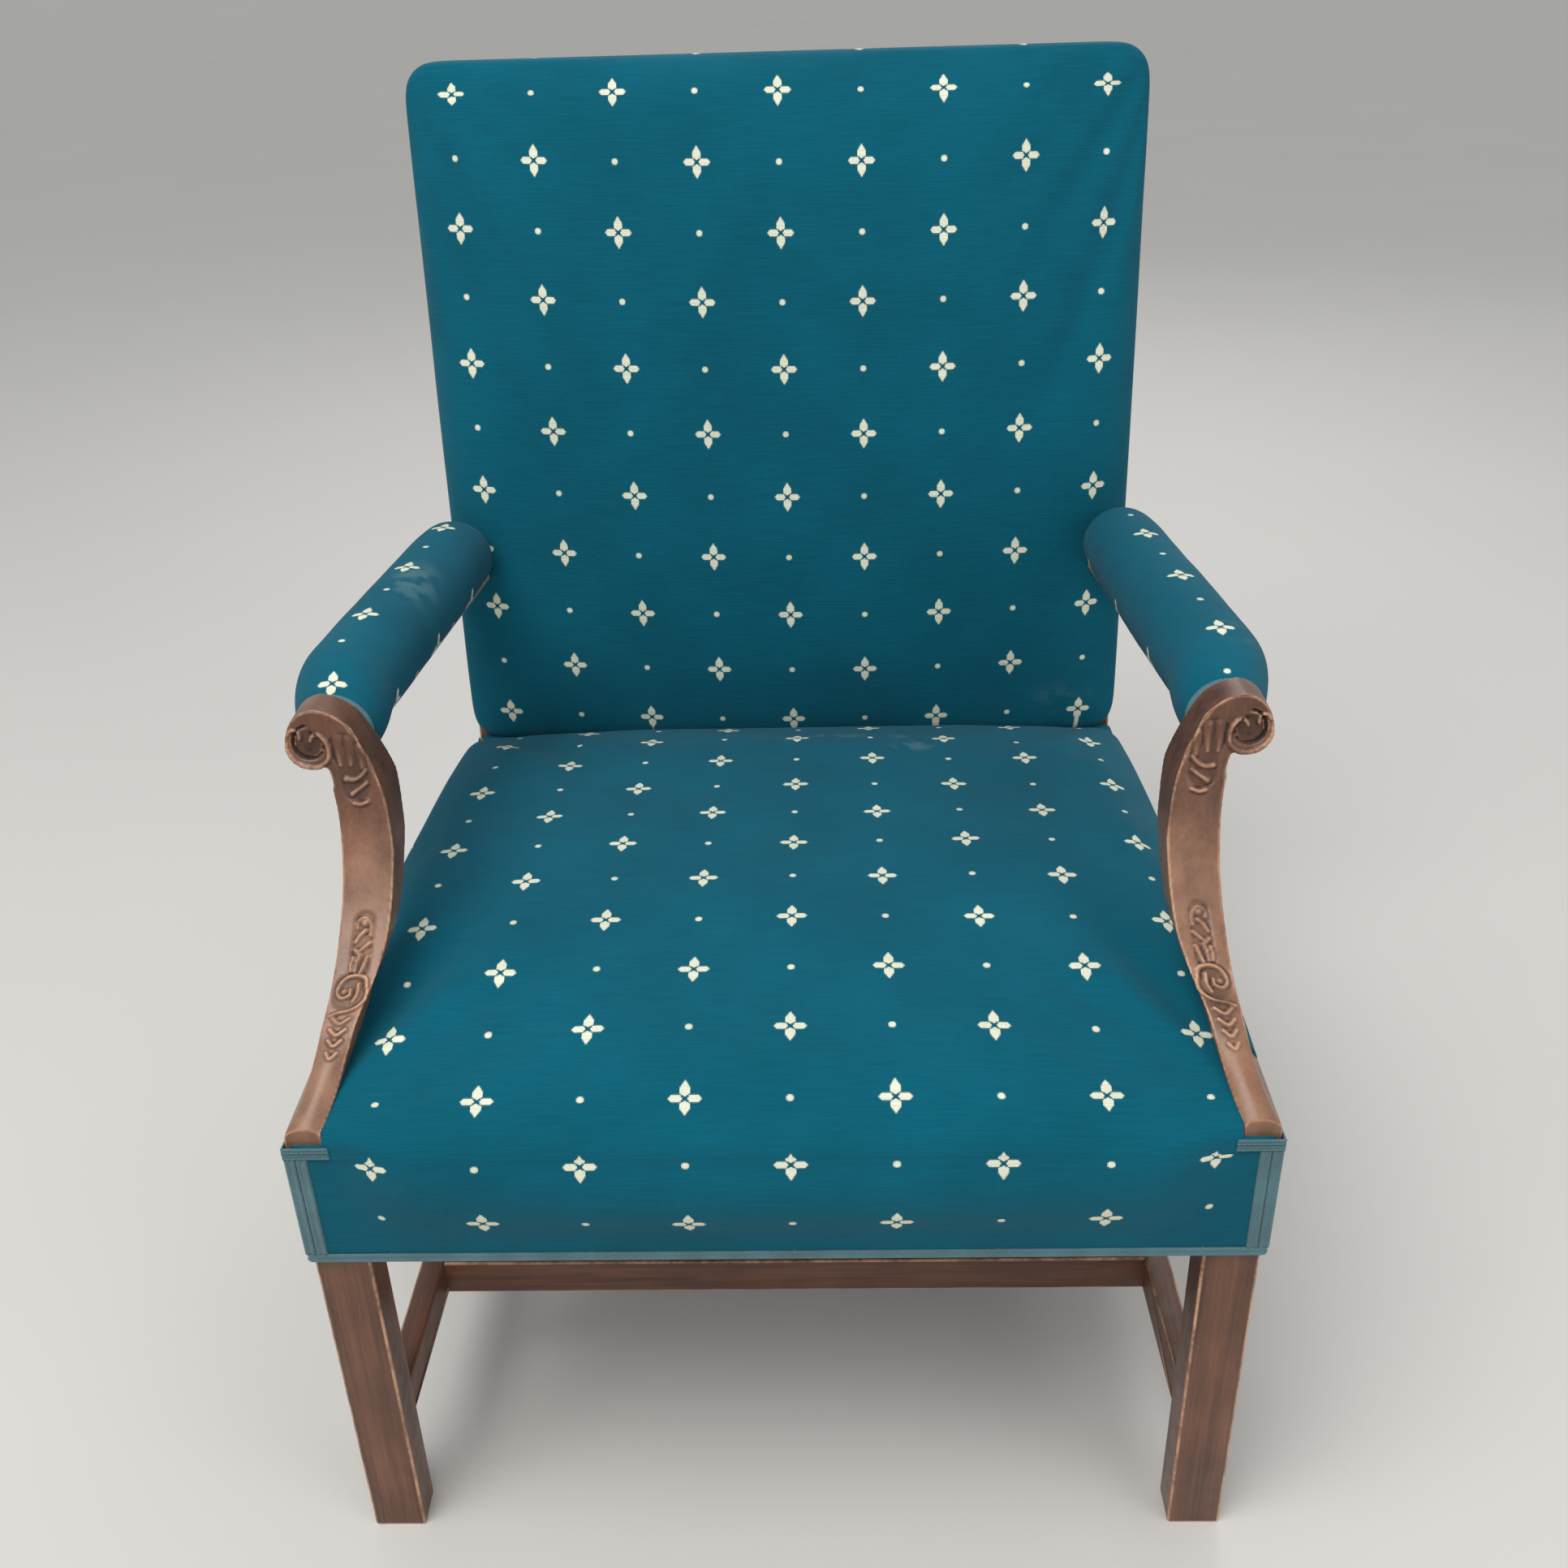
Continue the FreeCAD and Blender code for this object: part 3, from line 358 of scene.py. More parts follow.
def write_cloth_map(piece, place):
    """Writes the cloth's own coordinates, in metres, to each corner of each face.

    place takes the corners' points and their faces' normals, and gives u and v."""
    mesh = piece.data
    layer = mesh.uv_layers.get("cloth") or mesh.uv_layers.new(name="cloth")
    corners = read_all(mesh.loops, "vertex_index")
    facing = read_all(mesh.polygons, "normal", 3, np.float32).reshape(-1, 3)
    normals = np.repeat(facing, read_all(mesh.polygons, "loop_total"), axis=0)
    u, v = place(points_of(piece)[corners], normals)
    layer.data.foreach_set("uv", np.stack((u, v), axis=1).astype(np.float32).ravel())
    mesh.uv_layers.active = layer


def nearest_on(points, line):
    """Each point's distance from a polyline, how far along it that is, and the line's length."""
    line = np.asarray(line, float)
    runs = np.linalg.norm(np.diff(line, axis=0), axis=1)
    begun = np.concatenate(([0], np.cumsum(runs)))
    best = np.full(len(points), np.inf)
    along = np.zeros(len(points))
    for a, b, run, before in zip(line[:-1], line[1:], runs, begun):
        way = (b - a) / run
        t = np.clip((points - a) @ way, 0, run)
        off = np.linalg.norm(points - a - t[:, None] * way, axis=1)
        nearer = off < best
        best[nearer] = off[nearer]
        along[nearer] = (before + t)[nearer]
    return best, along, begun[-1]


def along_line(points, line):
    return nearest_on(points, line)[1]


def rolled_section(half, roll, drop, down, count=12):
    """Half a section of a stuffed form, (across, down), from the middle over the side roll."""
    line = [(half * k / count, drop * (k / count) ** 2) for k in range(count)
            if half * k / count < half - roll]
    for k in range(count + 1):
        angle = math.pi / 2 * k / count
        line.append((half - roll + roll * math.sin(angle),
                     drop + roll - roll * math.cos(angle)))
    line.append((half, drop + roll + down))
    return line


def put_on(piece, slot, material, *nodes):
    """What every new piece needs: material, body and the nodes that it stands for. Its slot is not
    used.
    """
    piece.data.materials.clear()
    piece.data.materials.append(material)
    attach(piece, BODY)
    if nodes:
        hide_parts(*nodes)
    return piece


# Shader nodes

def node(tree, kind, inputs=(), **settings):
    made = tree.nodes.new(kind)
    for name, value in settings.items():
        setattr(made, name, value)
    for key, value in dict(inputs).items():
        if isinstance(value, bpy.types.NodeSocket):
            tree.links.new(value, made.inputs[key])
        else:
            made.inputs[key].default_value = value
    return made


def calc(tree, operation, *values):
    return node(tree, "ShaderNodeMath", enumerate(values), operation=operation).outputs[0]


def eased(tree, value, low, high, start=0.0, end=1.0):
    return node(tree, "ShaderNodeMapRange", enumerate((value, low, high, start, end)),
                interpolation_type="SMOOTHSTEP").outputs[0]


def mottle(tree, place, scale, detail=3.0, stretch=(1.0, 1.0, 1.0), roughness=0.5):
    """Noise from 0 to 1 on a stretched place."""
    pulled = node(tree, "ShaderNodeMapping", {"Vector": place, "Scale": stretch}).outputs[0]
    return node(tree, "ShaderNodeTexNoise", {"Vector": pulled, "Scale": scale, "Detail": detail,
                                            "Roughness": roughness}).outputs[0]


def blended(tree, share, first, second):
    return node(tree, "ShaderNodeMix", {0: share, 6: first, 7: second},
                data_type="RGBA").outputs[2]


def opaque(colour):
    return (*colour, 1.0)


def tinted(tree, colour, value):
    """A colour made lighter or darker by a value about 1."""
    return node(tree, "ShaderNodeHueSaturation", {"Value": value, "Color": colour}).outputs[0]


def new_group(name, inputs, outputs):
    tree = bpy.data.node_groups.new(name, "ShaderNodeTree")
    for socket, kind, default in inputs:
        made = tree.interface.new_socket(socket, in_out="INPUT", socket_type=kind)
        if default is not None:
            made.default_value = default
    for socket, kind in outputs:
        tree.interface.new_socket(socket, in_out="OUTPUT", socket_type=kind)
    return tree, tree.nodes.new("NodeGroupInput").outputs, tree.nodes.new("NodeGroupOutput").inputs


def placed_group(tree, name, inputs):
    return node(tree, "ShaderNodeGroup", inputs, node_tree=bpy.data.node_groups[name]).outputs


FIGURE_THREAD = 0.0009          # the figure's edges step from thread to thread
FIGURE_SOFT = 0.0005            # half width of their soft rim
PETAL_START, PETAL_SPREAD = 0.0014, 1.5         # from the flower's heart, and widening there
PETAL_UPRIGHT = 0.0031, 0.62                    # fullest half width, and narrowing to the tip
PETAL_SIDEWAYS = 0.0024, 1.2


def figure_group():
    """Flowers of four petals with dots between them, set out on a lattice."""
    floats = ("Column", "Row", "Long", "Side", "Dot")
    tree, given, out = new_group("Flower and Dot", [("Cloth", "NodeSocketVector", None)]
                                 + [(name, "NodeSocketFloat", 0.01) for name in floats],
                                 [("Figure", "NodeSocketFloat")])
    parts = node(tree, "ShaderNodeSeparateXYZ", {0: given["Cloth"]}).outputs
    column = calc(tree, "ROUND", calc(tree, "DIVIDE", parts[0], given["Column"]))
    row = calc(tree, "ROUND", calc(tree, "DIVIDE", parts[1], given["Row"]))
    across = calc(tree, "SUBTRACT", parts[0], calc(tree, "MULTIPLY", column, given["Column"]))
    up = calc(tree, "SUBTRACT", parts[1], calc(tree, "MULTIPLY", row, given["Row"]))
    across = calc(tree, "SNAP", calc(tree, "ABSOLUTE", across), FIGURE_THREAD)
    up = calc(tree, "SNAP", calc(tree, "ABSOLUTE", up), FIGURE_THREAD)

    def petal(length, width, reach, fullest, taper):
        """A petal along one way: its half width grows from the heart and falls to its tip."""
        begun = calc(tree, "MULTIPLY", calc(tree, "SUBTRACT", length, PETAL_START), PETAL_SPREAD)
        ended = calc(tree, "MULTIPLY", calc(tree, "SUBTRACT", reach, length), taper)
        half = calc(tree, "MINIMUM", calc(tree, "MINIMUM", begun, ended), fullest)
        return eased(tree, calc(tree, "SUBTRACT", half, width), -FIGURE_SOFT, FIGURE_SOFT)

    upright = petal(up, across, given["Long"], *PETAL_UPRIGHT)
    sideways = petal(across, up, given["Side"], *PETAL_SIDEWAYS)
    flower = calc(tree, "MAXIMUM", upright, sideways)
    away = calc(tree, "SQRT", calc(tree, "ADD", calc(tree, "MULTIPLY", across, across),
                                   calc(tree, "MULTIPLY", up, up)))
    dot = eased(tree, calc(tree, "SUBTRACT", given["Dot"], away), -FIGURE_SOFT, FIGURE_SOFT)
    odd = calc(tree, "PINGPONG", calc(tree, "ADD", column, row), 1.0)
    chosen = calc(tree, "ADD", calc(tree, "MULTIPLY", dot, odd),
                  calc(tree, "MULTIPLY", flower, calc(tree, "SUBTRACT", 1.0, odd)))
    tree.links.new(chosen, out["Figure"])


def weave_group():
    """Threads, slubs and fading of a woven cloth, as a tone about 1 and a height."""
    tree, given, out = new_group("Weave", [("Cloth", "NodeSocketVector", None),
                                           ("Thread", "NodeSocketFloat", WEAVE_THREAD)],
                                 [("Tone", "NodeSocketFloat"), ("Height", "NodeSocketFloat")])
    parts = node(tree, "ShaderNodeSeparateXYZ", {0: given["Cloth"]}).outputs
    turns = [calc(tree, "MULTIPLY", calc(tree, "DIVIDE", part, given["Thread"]), math.pi)
             for part in (parts[0], parts[1])]
    warp = calc(tree, "ABSOLUTE", calc(tree, "SINE", turns[0]))
    weft = calc(tree, "ABSOLUTE", calc(tree, "SINE", turns[1]))
    threads = calc(tree, "MULTIPLY", calc(tree, "ADD", calc(tree, "MULTIPLY", warp, 0.6), weft),
                   0.6)
    slubs = mottle(tree, given["Cloth"], 1.0, 2.0, (26.0, 620.0, 1.0))
    fine = mottle(tree, given["Cloth"], 900.0, 2.0)
    cloud = mottle(tree, given["Cloth"], 9.0, 3.0)
    tone = calc(tree, "ADD", eased(tree, slubs, 0.3, 0.75, -0.06, 0.09),
                eased(tree, cloud, 0.25, 0.75, -0.09, 0.09))
    tone = calc(tree, "ADD", tone, eased(tree, fine, 0.2, 0.8, -0.12, 0.12))
    tree.links.new(calc(tree, "ADD", tone, 1.0), out["Tone"])
    height = calc(tree, "ADD", calc(tree, "MULTIPLY", threads, 0.6),
                  calc(tree, "MULTIPLY", slubs, 0.9))
    tree.links.new(calc(tree, "ADD", height, calc(tree, "MULTIPLY", fine, 0.4)), out["Height"])


def grain_group():
    """Grain of wood that runs along Z of the place given: figure, pores and fibre."""
    tree, given, out = new_group("Grain", [("Place", "NodeSocketVector", None),
                                           ("Coarse", "NodeSocketFloat", 1.0)],
                                 [("Figure", "NodeSocketFloat"), ("Pores", "NodeSocketFloat"),
                                  ("Height", "NodeSocketFloat")])
    place = node(tree, "ShaderNodeVectorMath", {0: given["Place"], 3: given["Coarse"]},
                 operation="SCALE").outputs[0]
    bands = mottle(tree, place, 1.0, 4.0, (46.0, 46.0, 3.2), 0.55)
    streaks = mottle(tree, place, 1.0, 3.0, (420.0, 420.0, 9.0), 0.6)
    pores = mottle(tree, place, 1.0, 2.0, (1500.0, 1500.0, 70.0), 0.5)
    figure = calc(tree, "ADD", calc(tree, "MULTIPLY", eased(tree, bands, 0.3, 0.7), 0.62),
                  calc(tree, "MULTIPLY", eased(tree, streaks, 0.3, 0.7), 0.38))
    tree.links.new(figure, out["Figure"])
    marks = eased(tree, pores, 0.60, 0.72)
    tree.links.new(marks, out["Pores"])
    height = calc(tree, "SUBTRACT", calc(tree, "MULTIPLY", streaks, 0.4), marks)
    tree.links.new(height, out["Height"])


def wear_and_highlight_group():
    """Breaks up the rubbing, with its painted highlight, and the dirt written on a mesh into
    rubbed and grimy patches.
    """
    tree, given, out = new_group("Edge Wear", [("Place", "NodeSocketVector", None),
                                               ("Wear", "NodeSocketFloat", 0.0),
                                               ("Dirt", "NodeSocketFloat", 0.0)],
                                 [("Rubbed", "NodeSocketFloat"), ("Grimy", "NodeSocketFloat")])
    patches = mottle(tree, given["Place"], 38.0, 4.0)
    specks = mottle(tree, given["Place"], 240.0, 3.0)
    broken = calc(tree, "ADD", calc(tree, "MULTIPLY", patches, 0.8),
                  calc(tree, "MULTIPLY", specks, 0.45))
    # Rubbed: the rubbed arrises, which also carry a painted highlight
    rubbed = calc(tree, "MULTIPLY", given["Wear"], eased(tree, broken, 0.42, 0.78, 0.15, 1.0))
    tree.links.new(rubbed, out["Rubbed"])
    tree.links.new(calc(tree, "MULTIPLY", given["Dirt"],
                        eased(tree, patches, 0.2, 0.6, 0.6, 1.0)), out["Grimy"])


def plait_group():
    """Fine diagonal threads of a braid, from its own coordinates in metres, with painted shade
    between them.
    """
    tree, given, out = new_group("Plait", [("Cloth", "NodeSocketVector", None)],
                                 [("Tone", "NodeSocketFloat"), ("Height", "NodeSocketFloat")])
    parts = node(tree, "ShaderNodeSeparateXYZ", {0: given["Cloth"]}).outputs
    slant = calc(tree, "ADD", parts[0], parts[1])
    turns = calc(tree, "SINE", calc(tree, "MULTIPLY", slant, 2 * math.pi / 0.0016))
    fuzz = mottle(tree, given["Cloth"], 700.0, 2.0)
    height = calc(tree, "ADD", calc(tree, "MULTIPLY", turns, 0.5), fuzz)
    tree.links.new(height, out["Height"])
    cloud = mottle(tree, given["Cloth"], 30.0, 2.0)
    # tone follows the height: painted shade in the troughs between threads, lighter crests
    tone = calc(tree, "ADD", eased(tree, height, -0.4, 1.4, 0.8, 1.15),
                eased(tree, cloud, 0.3, 0.7, -0.12, 0.12))
    tree.links.new(tone, out["Tone"])


def new_material(name, **sockets):
    """A material with a Principled shader and its uniform values set on its own sockets."""
    material = bpy.data.materials.new(name)
    material.use_nodes = True
    tree = material.node_tree
    tree.nodes.clear()
    shader = tree.nodes.new("ShaderNodeBsdfPrincipled")
    for key, value in sockets.items():
        shader.inputs[key.replace("_", " ")].default_value = value
    end = tree.nodes.new("ShaderNodeOutputMaterial")
    tree.links.new(shader.outputs[0], end.inputs["Surface"])
    return material, tree, shader


def raise_surface(tree, shader, height, distance, strength=1.0):
    bump = node(tree, "ShaderNodeBump", {"Height": height, "Distance": distance,
                                         "Strength": strength})
    tree.links.new(bump.outputs["Normal"], shader.inputs["Normal"])


def object_place(tree):
    return tree.nodes.new("ShaderNodeTexCoord").outputs["Object"]


def spot(tree, place, centre, size):
    """A soft patch, 1 in its middle, round a point of the chair."""
    moved = node(tree, "ShaderNodeMapping", {"Vector": place, "Location": centre, "Scale": size},
                 vector_type="TEXTURE").outputs[0]
    length = node(tree, "ShaderNodeVectorMath", {0: moved}, operation="LENGTH").outputs["Value"]
    return eased(tree, length, 1.0, 0.25)


def cloth_material(name, row, marks=()):
    """The figured cloth. marks are scuffed places: centre, size and strength."""
    cloth = bpy.context.scene.armchair_cloth
    material, tree, shader = new_material(name, Roughness=0.95, Sheen_Weight=0.05,
                                          Sheen_Roughness=0.5, Specular_IOR_Level=0.12)
    place = node(tree, "ShaderNodeUVMap", uv_map="cloth").outputs[0]
    figure = placed_group(tree, "Flower and Dot", {
        "Cloth": place, "Column": cloth.column, "Row": row, "Long": cloth.petal_long,
        "Side": cloth.petal_side, "Dot": cloth.dot})["Figure"]
    weave = placed_group(tree, "Weave", {"Cloth": place, "Thread": WEAVE_THREAD})
    ground = tinted(tree, opaque(cloth.ground), weave["Tone"])
    colour = ground
    worn = None
    for centre, size, strength in marks:
        mark = calc(tree, "MULTIPLY", spot(tree, object_place(tree), centre, size), strength)
        worn = mark if worn is None else calc(tree, "MAXIMUM", worn, mark)
    if worn is not None:
        rubbed = calc(tree, "MULTIPLY", worn, eased(tree, mottle(tree, object_place(tree), 55.0,
                                                                 5.0), 0.42, 0.62))
        colour = blended(tree, rubbed, ground, opaque(srgb(92, 130, 134)))
    threads = tinted(tree, opaque(cloth.figure), weave["Tone"])
    tree.links.new(blended(tree, figure, colour, threads), shader.inputs["Base Color"])
    height = calc(tree, "ADD", weave["Height"], calc(tree, "MULTIPLY", figure, 0.8))
    raise_surface(tree, shader, height, 0.0004, 0.7)
    return material


def braid_material():
    cloth = bpy.context.scene.armchair_cloth
    material, tree, shader = new_material("Gimp braid", Roughness=0.8, Sheen_Weight=0.2,
                                          Specular_IOR_Level=0.3)
    place = node(tree, "ShaderNodeUVMap", uv_map="cloth").outputs[0]
    plait = placed_group(tree, "Plait", {"Cloth": place})
    tree.links.new(tinted(tree, opaque(cloth.braid), plait["Tone"]),
                   shader.inputs["Base Color"])
    raise_surface(tree, shader, plait["Height"], 0.0003, 0.8)
    return material


def mahogany_material(name, lengthwise=(0.0, 0.0, 0.0), paling=0.0):
    """Old polished mahogany with its grain along a piece, and rubbed arrises painted lighter,
    partly as a painted highlight.
    """
    wood = bpy.context.scene.armchair_wood
    material, tree, shader = new_material(name, Coat_Roughness=0.3, Specular_IOR_Level=0.4)
    place = object_place(tree)
    turned = node(tree, "ShaderNodeMapping", {"Vector": place, "Rotation": lengthwise},
                  vector_type="TEXTURE").outputs[0]
    grain = placed_group(tree, "Grain", {"Place": turned, "Coarse": 1.0})
    wear = node(tree, "ShaderNodeAttribute", attribute_name="wear").outputs["Fac"]
    dirt = node(tree, "ShaderNodeAttribute", attribute_name="dirt").outputs["Fac"]
    edge = placed_group(tree, "Edge Wear", {"Place": place, "Wear": wear, "Dirt": dirt})
    body = blended(tree, grain["Figure"], opaque(wood.dark), opaque(wood.light))
    body = blended(tree, calc(tree, "MULTIPLY", grain["Pores"], 0.45), body,
                   opaque(wood.grime))
    cloud = eased(tree, mottle(tree, place, 16.0, 3.0), 0.3, 0.7, 0.82, 1.16)
    body = tinted(tree, body, cloud)
    # by height: paler patches low on the supports, darker at their heads
    if paling:
        foot_pale = node(tree, "ShaderNodeAttribute", attribute_name="fade").outputs["Fac"]
        pale_patches = calc(tree, "MULTIPLY", eased(tree, mottle(tree, place, 30.0, 4.0), 0.1, 0.8),
                     calc(tree, "MULTIPLY", foot_pale, paling))
        body = tinted(tree, body, eased(tree, foot_pale, 0.0, 1.0, 0.8, 1.0))
        body = blended(tree, pale_patches, body, opaque(wood.worn))
    # rubbed arrises and ridges painted lighter: worn polish and a painted highlight
    body = blended(tree, edge["Rubbed"], body, opaque(wood.worn))
    body = blended(tree, edge["Grimy"], body, opaque(wood.grime))
    tree.links.new(body, shader.inputs["Base Color"])
    shine = calc(tree, "ADD", eased(tree, mottle(tree, place, 60.0, 3.0), 0.3, 0.7, 0.36, 0.5),
                 calc(tree, "MULTIPLY", edge["Grimy"], 0.3))
    tree.links.new(shine, shader.inputs["Roughness"])
    tree.links.new(calc(tree, "SUBTRACT", 0.25, calc(tree, "MULTIPLY", edge["Grimy"], 0.25)),
                   shader.inputs["Coat Weight"])
    raise_surface(tree, shader, grain["Height"], 0.0002, 0.5)
    return material


def beech_material():
    wood = bpy.context.scene.armchair_wood
    material, tree, shader = new_material("Beech", Roughness=0.7)
    place = object_place(tree)
    turned = node(tree, "ShaderNodeMapping", {"Vector": place,
                                              "Rotation": (0.0, math.pi / 2, 0.0)},
                  vector_type="TEXTURE").outputs[0]
    grain = placed_group(tree, "Grain", {"Place": turned, "Coarse": 1.6})
    tone = eased(tree, grain["Figure"], 0.2, 0.8, 0.8, 1.1)
    body = tinted(tree, opaque(wood.beech), tone)
    body = blended(tree, calc(tree, "MULTIPLY", grain["Pores"], 0.5), body,
                   opaque(srgb(120, 86, 58)))
    tree.links.new(body, shader.inputs["Base Color"])
    raise_surface(tree, shader, grain["Height"], 0.0002, 0.4)
    return material


def coarse_cloth_material(name, colour, thread, across=(0.0, 0.0, 0.0), stripe=0.0):
    """Plain weave on object coordinates, for webbing, hessian and the cloth underneath."""
    material, tree, shader = new_material(name, Roughness=0.95)
    place = node(tree, "ShaderNodeMapping", {"Vector": object_place(tree), "Rotation": across},
                 vector_type="TEXTURE").outputs[0]
    weave = placed_group(tree, "Weave", {"Cloth": place, "Thread": thread})
    body = tinted(tree, opaque(colour), weave["Tone"])
    if stripe:
        parts = node(tree, "ShaderNodeSeparateXYZ", {0: place}).outputs
        line = calc(tree, "PINGPONG", parts[0], stripe)
        body = blended(tree, eased(tree, line, 0.86 * stripe, 0.9 * stripe), body,
                       opaque(srgb(60, 52, 46)))
    tree.links.new(body, shader.inputs["Base Color"])
    raise_surface(tree, shader, weave["Height"], 2 * thread / 3, 1.0)
    return material


def steel_material():
    material, tree, shader = new_material("Steel screws", Metallic=0.9)
    dull = mottle(tree, object_place(tree), 400.0, 3.0)
    tree.links.new(eased(tree, dull, 0.3, 0.7, 0.35, 0.6), shader.inputs["Roughness"])
    tree.links.new(blended(tree, dull, opaque(srgb(120, 116, 110)), opaque(srgb(160, 156, 150))),
                   shader.inputs["Base Color"])
    return material


def floor_material():
    studio = bpy.context.scene.armchair_studio
    material, tree, shader = new_material("Studio floor", Roughness=0.6)
    tone = eased(tree, mottle(tree, object_place(tree), 1.4, 2.0), 0.2, 0.8, 0.985, 1.015)
    tree.links.new(tinted(tree, opaque(studio.floor), tone), shader.inputs["Base Color"])
    return material


# The seat

# along the seat from its front, and height of the crown there
SEAT_DEPTH_SHARES = (0.0, 0.11, 0.2, 0.33, 0.465, 0.64, 0.82, 0.89, 0.95)
SEAT_CROWN_SHARES = (0.655, 0.825, 0.945, 1.0, 0.96, 0.81, 0.665, 0.56, 0.42)
# along the seat, and swell of its sides there
SIDE_SWELL_PLACES = (0.0, 0.11, 0.2, 0.33, 0.48, 0.65, 0.82, 1.0)
SIDE_SWELL_SHARES = (0.0, 0.05, 0.35, 0.85, 1.0, 0.85, 0.45, 0.0)
SEAT_REAR_CORNER = 0.030        # rounding of the domed part's upright rear corners
SEAT_LUMPS = (0.11, 3.0, 0.0022), (0.045, 8.0, 0.0007)


def side_half(y):
    """Outer face of the side rails at a depth, from the middle line."""
    return FRONT_HALF + (REAR_HALF - FRONT_HALF) * (y - FRONT) / SEAT_DEPTH


def seat_top(y, crown):
    """Height of the middle of the seat above the rails, before its edges are rolled."""
    return crown * flowing((y - FRONT) / SEAT_DEPTH, SEAT_DEPTH_SHARES, SEAT_CROWN_SHARES)


def front_hump(z):
    """Swell of the front over the rail, from 0 at the gimp to 1 and back to 0 at the roll."""
    low, full, end = SEAT[0].z + 0.008, RAIL_TOP - 0.006, RAIL_TOP + 0.064
    return step_up(z, low, full) * (1 - step_up(z, full + 0.012, end))


def seat_blank(stuffing):
    """A low block with the domed part drawn up out of it and its top edges rolled."""
    crown = stuffing.seat_crown
    pad_end = POST_FRONT - PAD_END_GAP
    low_top = RAIL_TOP + TUCK
    blank = block("seat_upholstery", (-FRONT_HALF - COVER, FRONT - COVER, SEAT[0].z),
                  (FRONT_HALF + COVER, REAR_RAIL[1].y + COVER, low_top))
    with_all(blank, bpy.ops.mesh.bisect, plane_co=(0, pad_end, 0), plane_no=(0, 1, 0))
    pick(blank, "polygons", lambda f: f.normal.z > 0.9 and f.center.y < pad_end)
    bpy.ops.mesh.extrude_region_move(TRANSFORM_OT_translate={
        "value": (0, 0, RAIL_TOP + crown - low_top)})
    done()
    high = low_top + CLEAR

    def rear_corner(a, b):
        return max(a.z, b.z) > high and min(a.z, b.z) < high and min(a.y, b.y) > pad_end - CLEAR

    def top_edge(a, b):
        return min(a.z, b.z) > high and min(a.y, b.y) < pad_end - CLEAR

    round_edges(blank, rear_corner, SEAT_REAR_CORNER, 5)
    round_edges(blank, top_edge, stuffing.seat_roll, 7)
    return finish_with(blank, "REMESH", mode="VOXEL", voxel_size=VOXEL)


def shape_seat(points, stuffing):
    """Tapers the block, gives it its crown, and swells its front and sides."""
    x, y, z = points.T.copy()
    crown = stuffing.seat_crown
    x = x * (side_half(y) + COVER) / (FRONT_HALF + COVER)
    above = np.clip(z - RAIL_TOP, 0, None)
    across = np.clip(np.abs(x) / FRONT_HALF, 0, 1)
    low = 1 - stuffing.seat_side_drop / crown * across ** 2
    start = stuffing.swell * SWELL_SHARE
    z = np.minimum(z, RAIL_TOP) + above * (seat_top(y, crown) * low - start) / crown
    depth = (y - FRONT) / SEAT_DEPTH
    hump = step_up(z, SEAT[0].z + 0.012, RAIL_TOP + 0.01) * (1 - step_up(z, RAIL_TOP + 0.03,
                                                                         RAIL_TOP + 0.09))
    side = stuffing.seat_bulge * flowing(depth, SIDE_SWELL_PLACES, SIDE_SWELL_SHARES) * hump
    x = x + np.sign(x) * side * step_up(across, 0.5, 0.95)
    ahead = 1 - step_up(y, FRONT - COVER, FRONT + 0.09)
    corner = 1 - step_up(np.abs(x), FRONT_HALF - 0.075, FRONT_HALF - FOOT_WIDTH - 0.008)
    y = y - stuffing.front_bulge * front_hump(z) * ahead * corner
    moved = np.stack((x, y, z), axis=1)
    moved[:, 2] += lumps(moved, SEAT_LUMPS) * step_up(z, RAIL_TOP + 0.02, RAIL_TOP + 0.05)
    return moved


def foot_room(side):
    """Block over a support's foot, to clear the seat from the corner."""
    way = SIDES[side]
    inner = way * (FRONT_HALF - FOOT_WIDTH - CLEAR)
    outer = way * (FRONT_HALF + 0.1)
    return block("foot_room", (min(inner, outer), FRONT - 0.1, FOOT_TOP),
                 (max(inner, outer), FRONT + FOOT_LONG + CLEAR, RAIL_TOP + 0.2))


def grown_support(side):
    """The support as a tool to cut the seat, a hair thinner so that the cloth lies on it."""
    tool = support_body(side, "support_room", SUPPORT_ROOM_VOXEL)
    move_to(tool, points_of(tool) - normals_of(tool) * CLEAR)
    return tool


def frame_room():
    """The space inside the seat's skirt that the rails, legs and webbing fill."""
    room = block("frame_room", (-1, FRONT, SEAT[0].z - 0.05),
                 (1, REAR_RAIL[1].y, RAIL_TOP + LAYERS))
    points = points_of(room)
    points[:, 0] *= side_half(points[:, 1])
    move_to(room, points)
    return room


def post_room(side):
    """The rear corner that the back post stands in."""
    way = SIDES[side]
    inner, outer = way * (POST_INSIDE - CLEAR), way * (FRONT_HALF + 0.1)
    return block("post_room", (min(inner, outer), POST_FRONT - CLEAR, SEAT[0].z - 0.1),
                 (max(inner, outer), REAR_RAIL[1].y + 0.1, RAIL_TOP + 0.2))


